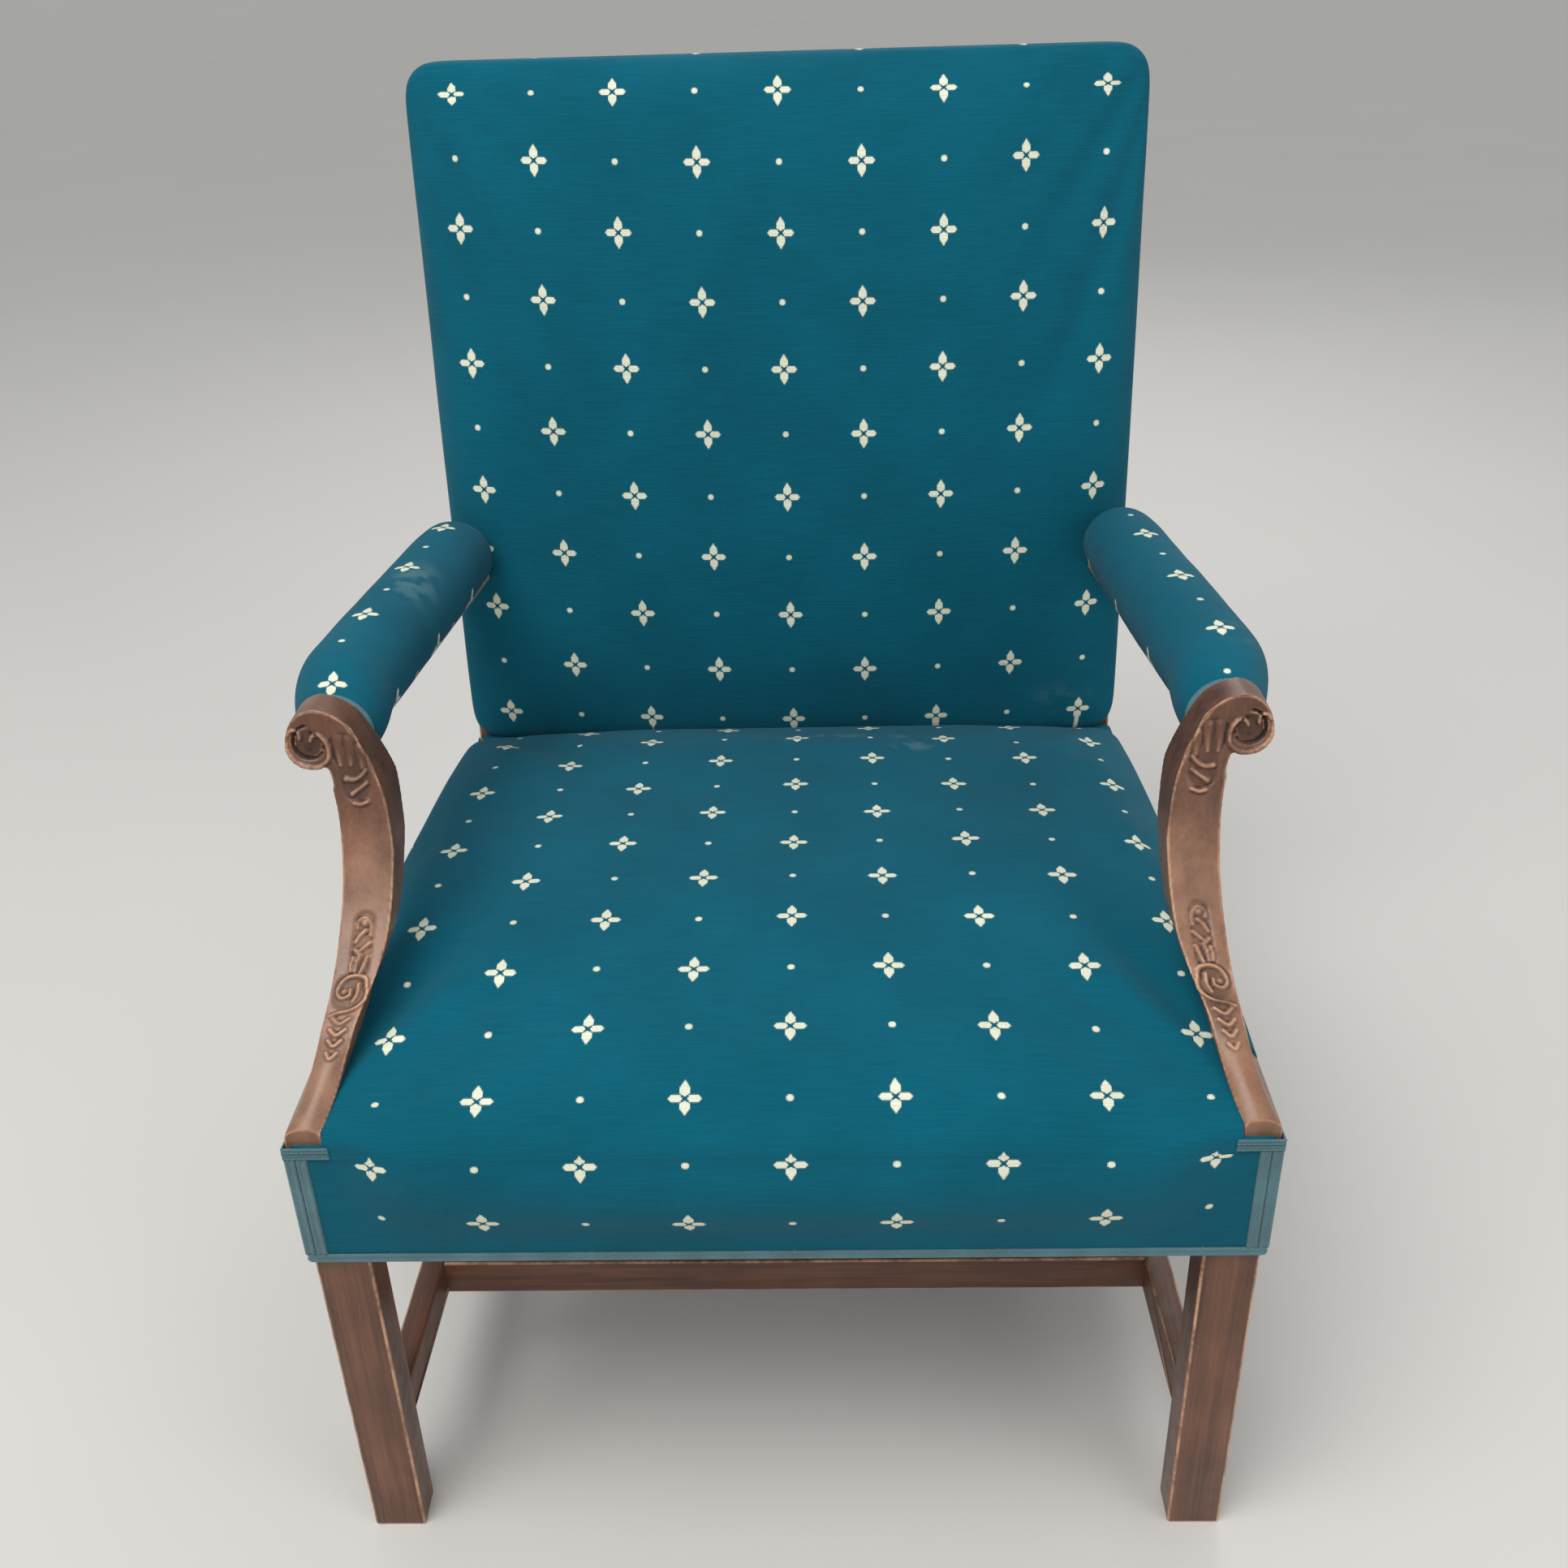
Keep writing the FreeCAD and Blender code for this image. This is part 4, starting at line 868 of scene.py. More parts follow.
def seat_profile(stuffing):
    """The cloth's line down the middle of the seat, (depth, height), from the rear."""
    roll = stuffing.seat_roll
    line = []
    count = 24
    for k in range(count + 1):
        y = POST_FRONT - PAD_END_GAP + (FRONT + roll - POST_FRONT + PAD_END_GAP) * k / count
        line.append((y, RAIL_TOP + float(seat_top(np.array(y), stuffing.seat_crown))))
    crown = stuffing.seat_crown
    for k in range(1, 9):
        angle = math.pi / 2 * k / 8
        y = FRONT - COVER + roll - roll * math.sin(angle)
        top = float(seat_top(np.array(y), crown))
        line.append((y, RAIL_TOP + top - roll * (1 - math.cos(angle)) * top / crown))
    start = line[-1][1]
    for k in range(1, 13):
        z = start + (SEAT[0].z - start) * k / 12
        line.append((FRONT - COVER - stuffing.front_bulge * float(front_hump(np.array(z))), z))
    return line


SEAT_COLUMN_SHIFT = 0.0078      # of the middle column from the middle line
SEAT_FIRST_ROW = 0.0141         # depth of the row nearest the front edge
SEAT_FIRST_RISE = 0.0505        # height of that row above the rails
BOXING_ROW_SHARE = 0.88         # spacing of the rows on the front, of that on top


def seat_map(cloth, stuffing):
    line = seat_profile(stuffing)
    section = rolled_section(FRONT_HALF + COVER, stuffing.seat_roll, stuffing.seat_side_drop,
                             0.15)
    middle = np.array(line)
    first = along_line(np.array([[FRONT + SEAT_FIRST_ROW, RAIL_TOP + SEAT_FIRST_RISE]]),
                       middle)[0]

    def place(points, normals):
        x, y, z = points.T
        v = along_line(points[:, 1:], middle) - first
        v = np.where(v > 0, v / BOXING_ROW_SHARE, v)
        top = RAIL_TOP + seat_top(y, stuffing.seat_crown)
        share = (FRONT_HALF + COVER) / (side_half(y) + COVER)
        u = along_line(np.stack((np.abs(x) * share, top - z), axis=1), section)
        ahead = normals[:, 1] < -0.5
        u = np.where(ahead, np.abs(x), u) * np.sign(x) - SEAT_COLUMN_SHIFT
        return u + cloth.column, -v

    return place


class ARMCHAIR_OT_seat(bpy.types.Operator):
    """Make the stuffed-over seat"""
    bl_idname = "armchair.seat"
    bl_label = "Seat"

    def execute(self, context):
        stuffing, cloth = context.scene.armchair_stuffing, context.scene.armchair_cloth
        seat = seat_blank(stuffing)
        move_to(seat, shape_seat(points_of(seat), stuffing))
        finish_with(seat, "SMOOTH", factor=0.5, iterations=5)

        def held(points):
            x, y, z = points.T
            skirt = z < RAIL_TOP - 0.05
            rear = (y > POST_FRONT - 0.02) | (z < SEAT[0].z + 0.012)
            corner = (np.abs(x) > FRONT_HALF - 0.05) & (y < FRONT + 0.1) & (z < FOOT_TOP + 0.01)
            return skirt | rear | corner

        fill_out(seat, stuffing, held)
        cut(seat, frame_room())
        for side in SIDES:
            cut(seat, foot_room(side), grown_support(side), post_room(side))
        smooth_faces(seat)
        write_cloth_map(seat, seat_map(cloth, stuffing))
        marks = [((0.06, FRONT + 0.53, RAIL_TOP + 0.055), (0.11, 0.012, 0.05), 0.4),
                 ((0.115, FRONT + 0.50, RAIL_TOP + 0.055), (0.028, 0.02, 0.05), 0.5)]
        put_on(seat, "cover_cloth", cloth_material("Figured cloth, seat", cloth.seat_row, marks),
               "seat_cover", "seat_stuffing")
        return {"FINISHED"}


# The back

# up the back from its lower edge, and thickness of the stuffing there
BACK_HEIGHT_SHARES = (0.0, 0.1, 0.205, 0.395, 0.583, 0.77, 0.957, 1.0)
BACK_CROWN_SHARES = (0.60, 0.75, 0.865, 0.99, 1.0, 0.896, 0.72, 0.66)
BACK_LOW = BACK[0].z - BACK_TUCK
BACK_LOW_CORNER = 0.026         # rounding of the bottom corners
BACK_REAR_EDGE = 0.006          # rounding of the top's rear edge
BACK_LUMPS = (0.13, 5.0, 0.0022), (0.05, 2.0, 0.0006)
REAR_LAP = 0.0015               # how far the cover laps past the posts, to the outside back


def post_face(z):
    """Front faces of the back posts at a height."""
    return LOW_BAR[0].y + RAKE * (z - LOW_BAR[0].z)


def post_back(z):
    """Rear faces of the back posts at a height."""
    return PANEL[0].y + REAR_RAKE * (z - PANEL[0].z)


def back_thickness(z, crown):
    share = (z - BACK[0].z) / (BACK[1].z - BACK[0].z)
    return crown * flowing(share, BACK_HEIGHT_SHARES, BACK_CROWN_SHARES)


def back_blank(stuffing):
    """An upright block, its posts' front plane at Y = 0, with rolled front edges."""
    blank = block("back_upholstery", (-REAR_HALF - COVER, -stuffing.back_crown, BACK_LOW),
                  (REAR_HALF + COVER, LEG_SIZE, BACK[1].z))
    top, low = BACK[1].z - CLEAR, BACK_LOW + CLEAR
    face, rear = -stuffing.back_crown + CLEAR, LEG_SIZE - CLEAR

    def runs_back(a, b):
        return abs(a.y - b.y) > 0.01

    round_edges(blank, lambda a, b: runs_back(a, b) and a.z > top, stuffing.back_corner, 6)
    round_edges(blank, lambda a, b: runs_back(a, b) and a.z < low, BACK_LOW_CORNER, 5)
    round_edges(blank, lambda a, b: max(a.y, b.y) < face, stuffing.back_roll, 7)
    round_edges(blank, lambda a, b: min(a.y, b.y) > rear and min(a.z, b.z) > top,
                BACK_REAR_EDGE, 4)
    return finish_with(blank, "REMESH", mode="VOXEL", voxel_size=VOXEL)


def shape_back(points, stuffing):
    x, y, z = points.T.copy()
    crown = stuffing.back_crown
    across = np.clip(np.abs(x) / REAR_HALF, 0, 1)
    thick = back_thickness(z, crown) - stuffing.back_side_drop * across ** 2
    thick -= stuffing.swell * SWELL_SHARE
    deep = post_back(z) - post_face(z) + REAR_LAP
    front = y < 0
    behind = np.clip(y / LEG_SIZE, 0, 1)
    y = post_face(z) + np.where(front, y * thick / crown, y * deep / LEG_SIZE)
    z = z - TOP_ROUND * behind ** 2 * step_up(z, BACK[1].z - 0.04, BACK[1].z)
    moved = np.stack((x, y, z), axis=1)
    moved[:, 1] += lumps(moved, BACK_LUMPS) * front
    return moved


def back_room():
    """The space behind the stuffing that the posts, rails and webbing fill."""
    room = block("back_room", (-REAR_HALF, -LAYERS, BACK_LOW - 0.05),
                 (REAR_HALF, 0.2, TOP_BAR[1].z))
    points = points_of(room)
    points[:, 1] += post_face(points[:, 2])
    move_to(room, points)
    return room


def back_profile(stuffing):
    """The cloth's line down the middle of the back, (depth, height), from the rear edge."""
    crown, roll = stuffing.back_crown, stuffing.back_roll
    top = BACK[1].z
    line = [(post_back(top), top)]
    for k in range(9):
        angle = math.pi / 2 * k / 8
        z = top - roll + roll * math.cos(angle)
        thick = float(back_thickness(np.array(z), crown))
        line.append((post_face(z) - thick + roll * (1 - math.sin(angle)) * thick / crown, z))
    low = top - roll
    for k in range(1, 41):
        z = low + (BACK[0].z - low) * k / 40
        line.append((post_face(z) - float(back_thickness(np.array(z), crown)), z))
    return line


TOP_ROUND = 0.006               # how far the top rounds over before the outside back
BACK_FIRST_ROW = 0.9775         # height of the uppermost whole row
BACK_COLUMN_SHIFT = 0.00253
BACK_BOW = 0.00796              # rise of the rows at both sides of the back
BACK_TILT = 0.00502             # fall of the rows from left to right


def back_map(stuffing):
    middle = np.array(back_profile(stuffing))
    section = rolled_section(REAR_HALF + COVER, stuffing.back_roll, stuffing.back_side_drop, 0.1)
    thick = float(back_thickness(np.array(BACK_FIRST_ROW), stuffing.back_crown))
    first = along_line(np.array([[post_face(BACK_FIRST_ROW) - thick, BACK_FIRST_ROW]]),
                       middle)[0]

    def place(points, normals):
        x, y, z = points.T
        down = along_line(points[:, 1:], middle) - first
        face = post_face(z) - back_thickness(z, stuffing.back_crown)
        u = along_line(np.stack((np.abs(x), y - face), axis=1), section) * np.sign(x)
        share = np.clip((x - BACK_COLUMN_SHIFT) / 0.33, -1, 1)
        beside = (BACK_FIRST_ROW - z) * math.hypot(1, RAKE)
        down = np.where(np.abs(normals[:, 0]) > 0.8, beside, down)
        return u - BACK_COLUMN_SHIFT, -(down + BACK_BOW * share ** 2 - BACK_TILT * share)

    return place


class ARMCHAIR_OT_back(bpy.types.Operator):
    """Make the stuffed back"""
    bl_idname = "armchair.back"
    bl_label = "Back"

    def execute(self, context):
        stuffing, cloth = context.scene.armchair_stuffing, context.scene.armchair_cloth
        back = back_blank(stuffing)
        move_to(back, shape_back(points_of(back), stuffing))
        finish_with(back, "SMOOTH", factor=0.5, iterations=5)

        def held(points):
            y, z = points.T[1:]
            behind = y > post_face(z) - 0.012
            return behind | (z < BACK[0].z)

        fill_out(back, stuffing, held)
        cut(back, back_room())
        smooth_faces(back)
        write_cloth_map(back, back_map(stuffing))
        marks = [((0.27, FRONT + 0.60, 0.415), (0.045, 0.05, 0.03), 0.2)]
        put_on(back, "cover_cloth", cloth_material("Figured cloth, back", cloth.back_row, marks),
               "back_cover", "back_stuffing")
        self.outside_back(cloth, stuffing)
        return {"FINISHED"}

    def outside_back(self, cloth, stuffing):
        """The flat cloth behind, its edges turned in and slip-stitched."""
        sheet = strip("outside_back", 90, 90)
        half = REAR_HALF + COVER
        low, high = PANEL[0].z, PANEL[1].z - TOP_ROUND
        corner = stuffing.back_corner
        s, t = points_of(sheet).T[:2]
        s, t = (q * (1.5 - 0.5 * q * q) for q in (s, t))
        z = low + (high - low) * (t + 1) / 2
        over = np.clip(z - (high - corner), 0, corner)
        x = s * (half - corner + np.sqrt(corner ** 2 - over ** 2))
        edge = np.minimum((1 - np.abs(s)) * half, (1 - np.abs(t)) * (high - low) / 2)
        turned = 0.0016 * (1 - step_up(edge, 0.003, 0.007)) * step_up(edge, 0.0, 0.002)
        slack = -0.004 * np.cos(s * math.pi / 2) * np.cos(t * math.pi / 2)
        pulls = 0.0006 * np.sin(z * 150.0) * (1 - step_up(edge, 0.006, 0.05))
        y = post_back(z) + 0.0012 + turned + slack + pulls
        move_to(sheet, np.stack((x, y, z), axis=1))
        with_all(sheet, bpy.ops.mesh.flip_normals)
        finish_with(sheet, "SOLIDIFY", thickness=0.0010, offset=-1.0)
        smooth_faces(sheet)
        write_cloth_map(sheet, lambda points, normals: (
            points[:, 0], points[:, 2] - BACK_FIRST_ROW))
        put_on(sheet, "cover_cloth", cloth_material("Figured cloth, outside back",
                                                    cloth.back_row), "outside_back_cover")


# The arms

# along an arm pad from its front, and its radius there
PAD_LENGTH_SHARES = (0.0, 0.03, 0.08, 0.2, 0.3, 0.6, 0.9, 1.0)
PAD_SWELL_SHARES = (0.70, 0.80, 0.91, 0.98, 1.0, 1.0, 0.98, 0.94)
PAD_FLAT_SHARE = 0.86           # of the radius, down to the flattened underside
PAD_RADII = 0.0395, 0.0375      # in front and at the rear
PAD_FALL = 0.022                # of the middle line, from the front to the rear
PAD_BLANK = 0.03                # radius of the cylinder that a pad is shaped from
PAD_REAR_ROUND, PAD_FRONT_ROUND = 0.020, 0.004
PAD_VOXEL = 0.004
PAD_SWELL = 0.0035              # how far its stuffing may push the cloth out
PAD_CORE = 0.0295               # from the stuffing's box to the middle line, at the front
PAD_CORE_REAR = 0.0266          # and across from its inner side, at the rear
PAD_OUTWARD = 0.007             # how far the stuffing leans out over the arm rail
PAD_LIFT = 0.0075               # how far it rises over the arm rail
PAD_LEAN_SHARE = 0.2            # of the pad's length, where both are reached
PAD_TUCKED = 0.0045             # how far inwards its front end is drawn to the collar


class ArmLine:
    """The middle line of an arm pad, worked out from the box of its stuffing."""

    def __init__(self, side):
        self.way = SIDES[side]
        low, high = PAD_STUFFING
        self.start, self.end = low.y, high.y
        self.front_radius, self.rear_radius = PAD_RADII
        self.front_x = high.x - PAD_CORE
        self.rear_x = low.x + PAD_CORE_REAR
        self.front_z = high.z - PAD_CORE
        self.rear_z = self.front_z - PAD_FALL

    def share(self, y):
        return (y - self.start) / (self.end - self.start)

    def middle(self, y):
        share = self.share(y)
        leaned = step_up(share, 0.0, PAD_LEAN_SHARE)
        across = (self.front_x + (self.rear_x - self.front_x) * share
                  + (PAD_OUTWARD + PAD_TUCKED) * leaned - PAD_TUCKED)
        return (self.way * across,
                self.front_z + (self.rear_z - self.front_z) * share + PAD_LIFT * leaned)

    def radius(self, y):
        share = self.share(y)
        swell = flowing(share, PAD_LENGTH_SHARES, PAD_SWELL_SHARES)
        return (self.front_radius + (self.rear_radius - self.front_radius) * share) * swell


ARM_ROW = 0.0570
ARM_FIRST_ROW = {"right": 0.071, "left": 0.132}
ARM_EASE = 0.12                 # how the cloth's columns close up round the pad's sides


class ARMCHAIR_OT_arm_pads(bpy.types.Operator):
    """Make the padded arms"""
    bl_idname = "armchair.arm_pads"
    bl_label = "Arm pads"

    def execute(self, context):
        stuffing = context.scene.armchair_stuffing
        marks = [((-0.305, FRONT + 0.43, 0.635), (0.03, 0.06, 0.04), 0.55),
                 ((0.345, FRONT + 0.28, 0.650), (0.026, 0.03, 0.03), 0.45)]
        material = cloth_material("Figured cloth, arms", ARM_ROW, marks)
        for side in SIDES:
            line = ArmLine(side)
            pad = self.pad(side, line, stuffing)
            write_cloth_map(pad, self.pad_map(side, line))
            put_on(pad, "cover_cloth", material, "arm_cover_" + side, "arm_stuffing_" + side)
        return {"FINISHED"}

    def pad(self, side, line, stuffing):
        length = line.end - line.start
        bpy.ops.mesh.primitive_cylinder_add(vertices=40, radius=1, depth=length,
                                            location=(0, (line.start + line.end) / 2, 0),
                                            rotation=(math.pi / 2, 0, 0))
        pad = settle("arm_pad_" + side)
        points = points_of(pad)
        points[:, [0, 2]] *= PAD_BLANK
        move_to(pad, points)
        round_edges(pad, lambda a, b: min(a.y, b.y) > line.end - CLEAR, PAD_REAR_ROUND, 6)
        round_edges(pad, lambda a, b: max(a.y, b.y) < line.start + CLEAR, PAD_FRONT_ROUND, 2)
        finish_with(pad, "REMESH", mode="VOXEL", voxel_size=PAD_VOXEL)
        x, y, z = points_of(pad).T
        radius = line.radius(y) - 0.001
        middle_x, middle_z = line.middle(y)
        soft = 0.003
        flat = -PAD_FLAT_SHARE * PAD_BLANK + soft
        z = np.where(z < flat, flat - soft * np.tanh((flat - z) / soft), z)
        moved = np.stack((x / PAD_BLANK * radius + middle_x, y,
                          z / PAD_BLANK * radius + middle_z), axis=1)
        away = np.stack((x, np.zeros_like(x), z), axis=1) / PAD_BLANK
        moved += away * (unevenness(moved, 0.05, 4.0 + line.way) * 0.0011)[:, None]
        move_to(pad, moved)
        finish_with(pad, "SMOOTH", factor=0.5, iterations=4)

        def held(points):
            below = points[:, 2] < line.middle(points[:, 1])[1] - 0.8 * line.radius(points[:, 1])
            return below | (points[:, 1] < line.start + 0.006)

        stuff(pad, PAD_SWELL, stuffing.pressure, held)
        finish_with(pad, "SMOOTH", factor=0.5, iterations=3)
        finish_with(pad, "SUBSURF", levels=1, render_levels=1)
        smooth_faces(pad, 60.0)
        return pad

    def pad_map(self, side, line):
        def place(points, normals):
            x, y, z = points.T
            middle_x, middle_z = line.middle(y)
            angle = np.arctan2(x - middle_x, z - middle_z)
            turned = np.abs(angle)
            turned = turned - ARM_EASE * np.clip(turned - 0.7, 0, None) ** 2
            return (np.sign(angle) * turned * line.radius(y),
                    y - line.start - ARM_FIRST_ROW[side])
        return place


# The gimp

class Braid:
    """A flat braid with two raised cords, laid along a line of (place, outward) stations."""
    WIDTH = 0.008
    STEP = 0.0011
    ROWS = 12
    PLAIT = 0.0034
    CORDS = (0.2, 0.0), (0.8, 1.6)      # place across the braid, and turn of the cord there

    def __init__(self, name, stations, across, thick=BRAID_THICK, width=WIDTH):
        places = np.array([s[0] for s in stations], float)
        outward = np.array([s[1] for s in stations], float)
        runs = np.linalg.norm(np.diff(places, axis=0), axis=1)
        begun = np.concatenate(([0], np.cumsum(runs)))
        length = begun[-1]
        self.piece = strip(name, max(4, int(length / self.STEP)), self.ROWS)
        s, t = points_of(self.piece).T[:2]
        s, t = (s + 1) / 2 * length, (t + 1) / 2
        spots = np.stack([np.interp(s, begun, places[:, k]) for k in range(3)], axis=1)
        away = np.stack([np.interp(s, begun, outward[:, k]) for k in range(3)], axis=1)
        away /= np.linalg.norm(away, axis=1, keepdims=True)
        turn = 2 * math.pi * s / self.PLAIT
        cords = sum(np.exp(-((t - place) / 0.11) ** 2) * (1 + 0.28 * np.sin(turn + shift))
                    for place, shift in self.CORDS)
        web = 0.16 * np.sin(turn / 2 + 9 * t) * np.exp(-((t - 0.5) / 0.2) ** 2)
        edge = step_up(np.minimum(t, 1 - t), 0.0, 0.06)
        rise = thick * edge * (0.32 + 0.62 * cords / 1.2 + web)
        across = np.array(across, float)
        if across.ndim == 1:
            across = np.repeat(across[None], len(s), axis=0)
        move_to(self.piece, spots + across * (t * width)[:, None] + away * rise[:, None])
        layer = self.piece.data.uv_layers.get("cloth") or self.piece.data.uv_layers.new(
            name="cloth")
        corners = read_all(self.piece.data.loops, "vertex_index")
        layer.data.foreach_set("uv", np.stack((s, t * width), axis=1)[corners]
                               .astype(np.float32).ravel())
        with_all(self.piece, bpy.ops.mesh.normals_make_consistent, inside=False)
        self.face_outwards(away)
        finish_with(self.piece, "SOLIDIFY", thickness=0.0006, offset=-1.0)
        only(self.piece)
        bpy.ops.object.shade_smooth()

    def face_outwards(self, away):
        if (normals_of(self.piece) * away).sum() < 0:
            with_all(self.piece, bpy.ops.mesh.flip_normals)


FOOT_BRAID = 0.005              # width of each row under a support's foot
FOOT_BRAID_LONG = 0.032
ARM_BRAID = 0.008
ARM_BRAID_BACK = -0.0015        # from the pad's front end to its gimp, which laps over it


def ring_on(pad, line, begin, width):
    """Stations of a ring laid on a pad's own surface, a little way behind its front end."""
    spots = points_of(pad)
    band = spots[(spots[:, 1] > begin) & (spots[:, 1] < begin + width)]
    middle_x, middle_z = line.middle(begin)
    x, z = band[:, 0] - middle_x, band[:, 2] - middle_z
    angles, reach = np.arctan2(x, z), np.hypot(x, z)
    count = 48
    turns = np.arange(count) * 2 * math.pi / count - math.pi
    away = np.abs((angles[None] - turns[:, None] + math.pi) % (2 * math.pi) - math.pi)
    radius = np.where(away < math.radians(6), reach[None], 0.0).max(axis=1)
    radius = (np.roll(radius, 1) + 2 * radius + np.roll(radius, -1)) / 4
    stations = [((middle_x + r * math.sin(turn), begin, middle_z + r * math.cos(turn)),
                 (math.sin(turn), 0.0, math.cos(turn))) for r, turn in zip(radius, turns)]
    return stations + stations[:1]


def seat_gimp_lines():
    """The runs of gimp on the seat: name, stations and the way across the braid."""
    low = SEAT[0].z
    lines = []
    face = COVER
    corner = 0.004
    stations = []

    def side_station(y, way):
        return ((way * (side_half(y) + face), y, low), (way, 0.0, 0.0))

    rear = POST_FRONT - CLEAR
    front_y = FRONT - face
    for way in (-1.0, 1.0):
        x_edge = FRONT_HALF + face
        run = [side_station(rear + (front_y + corner - rear) * k / 30, way) for k in range(31)]
        for k in range(1, 6):
            angle = math.pi / 2 * k / 6
            run.append(((way * (x_edge - corner + corner * math.cos(angle)),
                         front_y + corner - corner * math.sin(angle), low),
                        (way * math.cos(angle), -math.sin(angle), 0.0)))
        run.append(((way * (x_edge - corner), front_y, low), (0.0, -1.0, 0.0)))
        stations += run if way < 0 else run[::-1]
    lines.append(("seat_edge_braid", stations, (0.0, 0.0, 1.0)))
    half = POST_INSIDE - CLEAR
    rear_face = REAR_RAIL[1].y + face
    lines.append(("rear_gimp", [((x, rear_face, low), (0.0, 1.0, 0.0)) for x in (-half, half)],
                  (0.0, 0.0, 1.0)))
    for side, way in SIDES.items():
        x = way * (FRONT_HALF + face + BRAID_THICK / 2)
        inner = x - way * FOOT_BRAID_LONG
        for count in range(2):
            column = x - way * Braid.WIDTH * count
            lines.append((f"corner_gimp_{side}_{count + 1}",
                          [((column, front_y, low + Braid.WIDTH), (0.0, -1.0, 0.0)),
                           ((column, front_y, FOOT_TOP - 2 * FOOT_BRAID), (0.0, -1.0, 0.0))],
                          (-way, 0.0, 0.0)))
            height = FOOT_TOP - (count + 1) * FOOT_BRAID
            lines.append((f"foot_gimp_{side}_{count + 1}",
                          [((inner, front_y - 0.0004, height), (0.0, -1.0, 0.0)),
                           ((x, front_y - 0.0004, height), (0.0, -1.0, 0.0))],
                          (0.0, 0.0, 1.0)))
        y0, y1 = front_y, FRONT + FOOT_LONG
        beside = way * (FRONT_HALF + face)
        lines.append(("corner_side_gimp_" + side,
                      [((beside, front_y, low + Braid.WIDTH), (way, 0.0, 0.0)),
                       ((beside, front_y, FOOT_TOP - Braid.WIDTH), (way, 0.0, 0.0))],
                      (0.0, 1.0, 0.0)))
        lines.append(("side_foot_gimp_" + side,
                      [((way * (side_half(y) + face), y, FOOT_TOP - Braid.WIDTH),
                        (way, 0.0, 0.0)) for y in (y0, y1)], (0.0, 0.0, 1.0)))
    return lines


class ARMCHAIR_OT_gimp(bpy.types.Operator):
    """Lay the gimp along the seat's edges and round the arm pads"""
    bl_idname = "armchair.gimp"
    bl_label = "Gimp"

    def execute(self, context):
        material = braid_material()
        for name, stations, across in seat_gimp_lines():
            width = FOOT_BRAID if name.startswith("foot_gimp") else Braid.WIDTH
            braid = Braid(name, stations, across, width=width)
            nodes = ["seat_gimp"] if name == "seat_edge_braid" else []
            put_on(braid.piece, "gimp", material, *nodes)
        for side in SIDES:
            line = ArmLine(side)
            pad = bpy.data.objects["arm_pad_" + side]
            stations = ring_on(pad, line, line.start + ARM_BRAID_BACK, ARM_BRAID)
            braid = Braid("arm_braid_" + side, stations, (0.0, 1.0, 0.0), width=ARM_BRAID)
            put_on(braid.piece, "gimp", material, "arm_gimp_" + side)
        return {"FINISHED"}


# The timber

def mark_wear_and_highlight(piece, dirt=None, wear=None, fade=None):
    """Writes to each point, from 0 to 1, how rubbed the polish is, shown lighter and partly as a
    painted highlight, how dirty it is, and how much paler the timber is painted low down.
    """
    for name, values in (("wear", wear), ("dirt", dirt), ("fade", fade)):
        if values is None:
            continue
        layer = piece.data.attributes.get(name) or piece.data.attributes.new(name, "FLOAT",
                                                                             "POINT")
        layer.data.foreach_set("value", np.asarray(values, np.float32))


def square_up(node_name, name, arris, shortest):
    """Squared timber: a CAD node's copy with its long arrises and feet rounded, and marked rubbed
    for a lighter colour that is partly a painted highlight.
    """
    piece = copy_of(node_name, name)
    with_all(piece, bpy.ops.mesh.dissolve_limited, angle_limit=math.radians(2))

    def is_arris(a, b):
        return (a - b).length > shortest or max(a.z, b.z) < 0.001

    round_edges(piece, is_arris, arris, 4, clamp_overlap=False)
    low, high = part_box(node_name)
    move_to(piece, np.clip(points_of(piece), low, high))
    with_all(piece, bpy.ops.mesh.remove_doubles, threshold=0.00002)
    mesh = piece.data
    flat = np.zeros(len(mesh.vertices), bool)
    for face in mesh.polygons:
        if face.area > 16 * arris * arris and len(face.vertices) > 4:
            flat[list(face.vertices)] = True
        elif face.area > 40 * arris * arris:
            sides = [(mesh.vertices[a].co - mesh.vertices[b].co).length
                     for a, b in face.edge_keys]
            if min(sides) > 2 * arris:
                flat[list(face.vertices)] = True
    # every rounded arris is marked rubbed, which the shader paints lighter, partly as a painted
    # highlight
    mark_wear_and_highlight(piece, wear=np.where(flat, 0.0, 1.0))
    smooth_faces(piece, 30.0)
    return piece


LENGTHWISE = {"up": (0.0, 0.0, 0.0), "across": (0.0, math.pi / 2, 0.0),
              "back": (math.pi / 2, 0.0, 0.0)}


class ARMCHAIR_OT_legs(bpy.types.Operator):
    """Round the legs, back posts and stretchers, and paint their arrises rubbed, with a painted
    highlight
    """
    bl_idname = "armchair.legs"
    bl_label = "Legs and stretchers"

    def execute(self, context):
        arris = context.scene.armchair_wood.arris
        materials = {way: mahogany_material("Mahogany, grain " + way, turn)
                     for way, turn in LENGTHWISE.items()}
        pieces = [("front_leg_" + side, "up", 0.1) for side in SIDES]
        pieces += [("back_post_" + side, "up", 0.065) for side in SIDES]
        pieces += [("side_stretcher_" + side, "back", 0.1) for side in SIDES]
        pieces += [("cross_stretcher", "across", 0.1), ("rear_stretcher", "across", 0.1)]
        for name, way, shortest in pieces:
            piece = square_up(name, name + "_worn", arris, shortest)
            put_on(piece, "mahogany", materials[way], name)
        return {"FINISHED"}


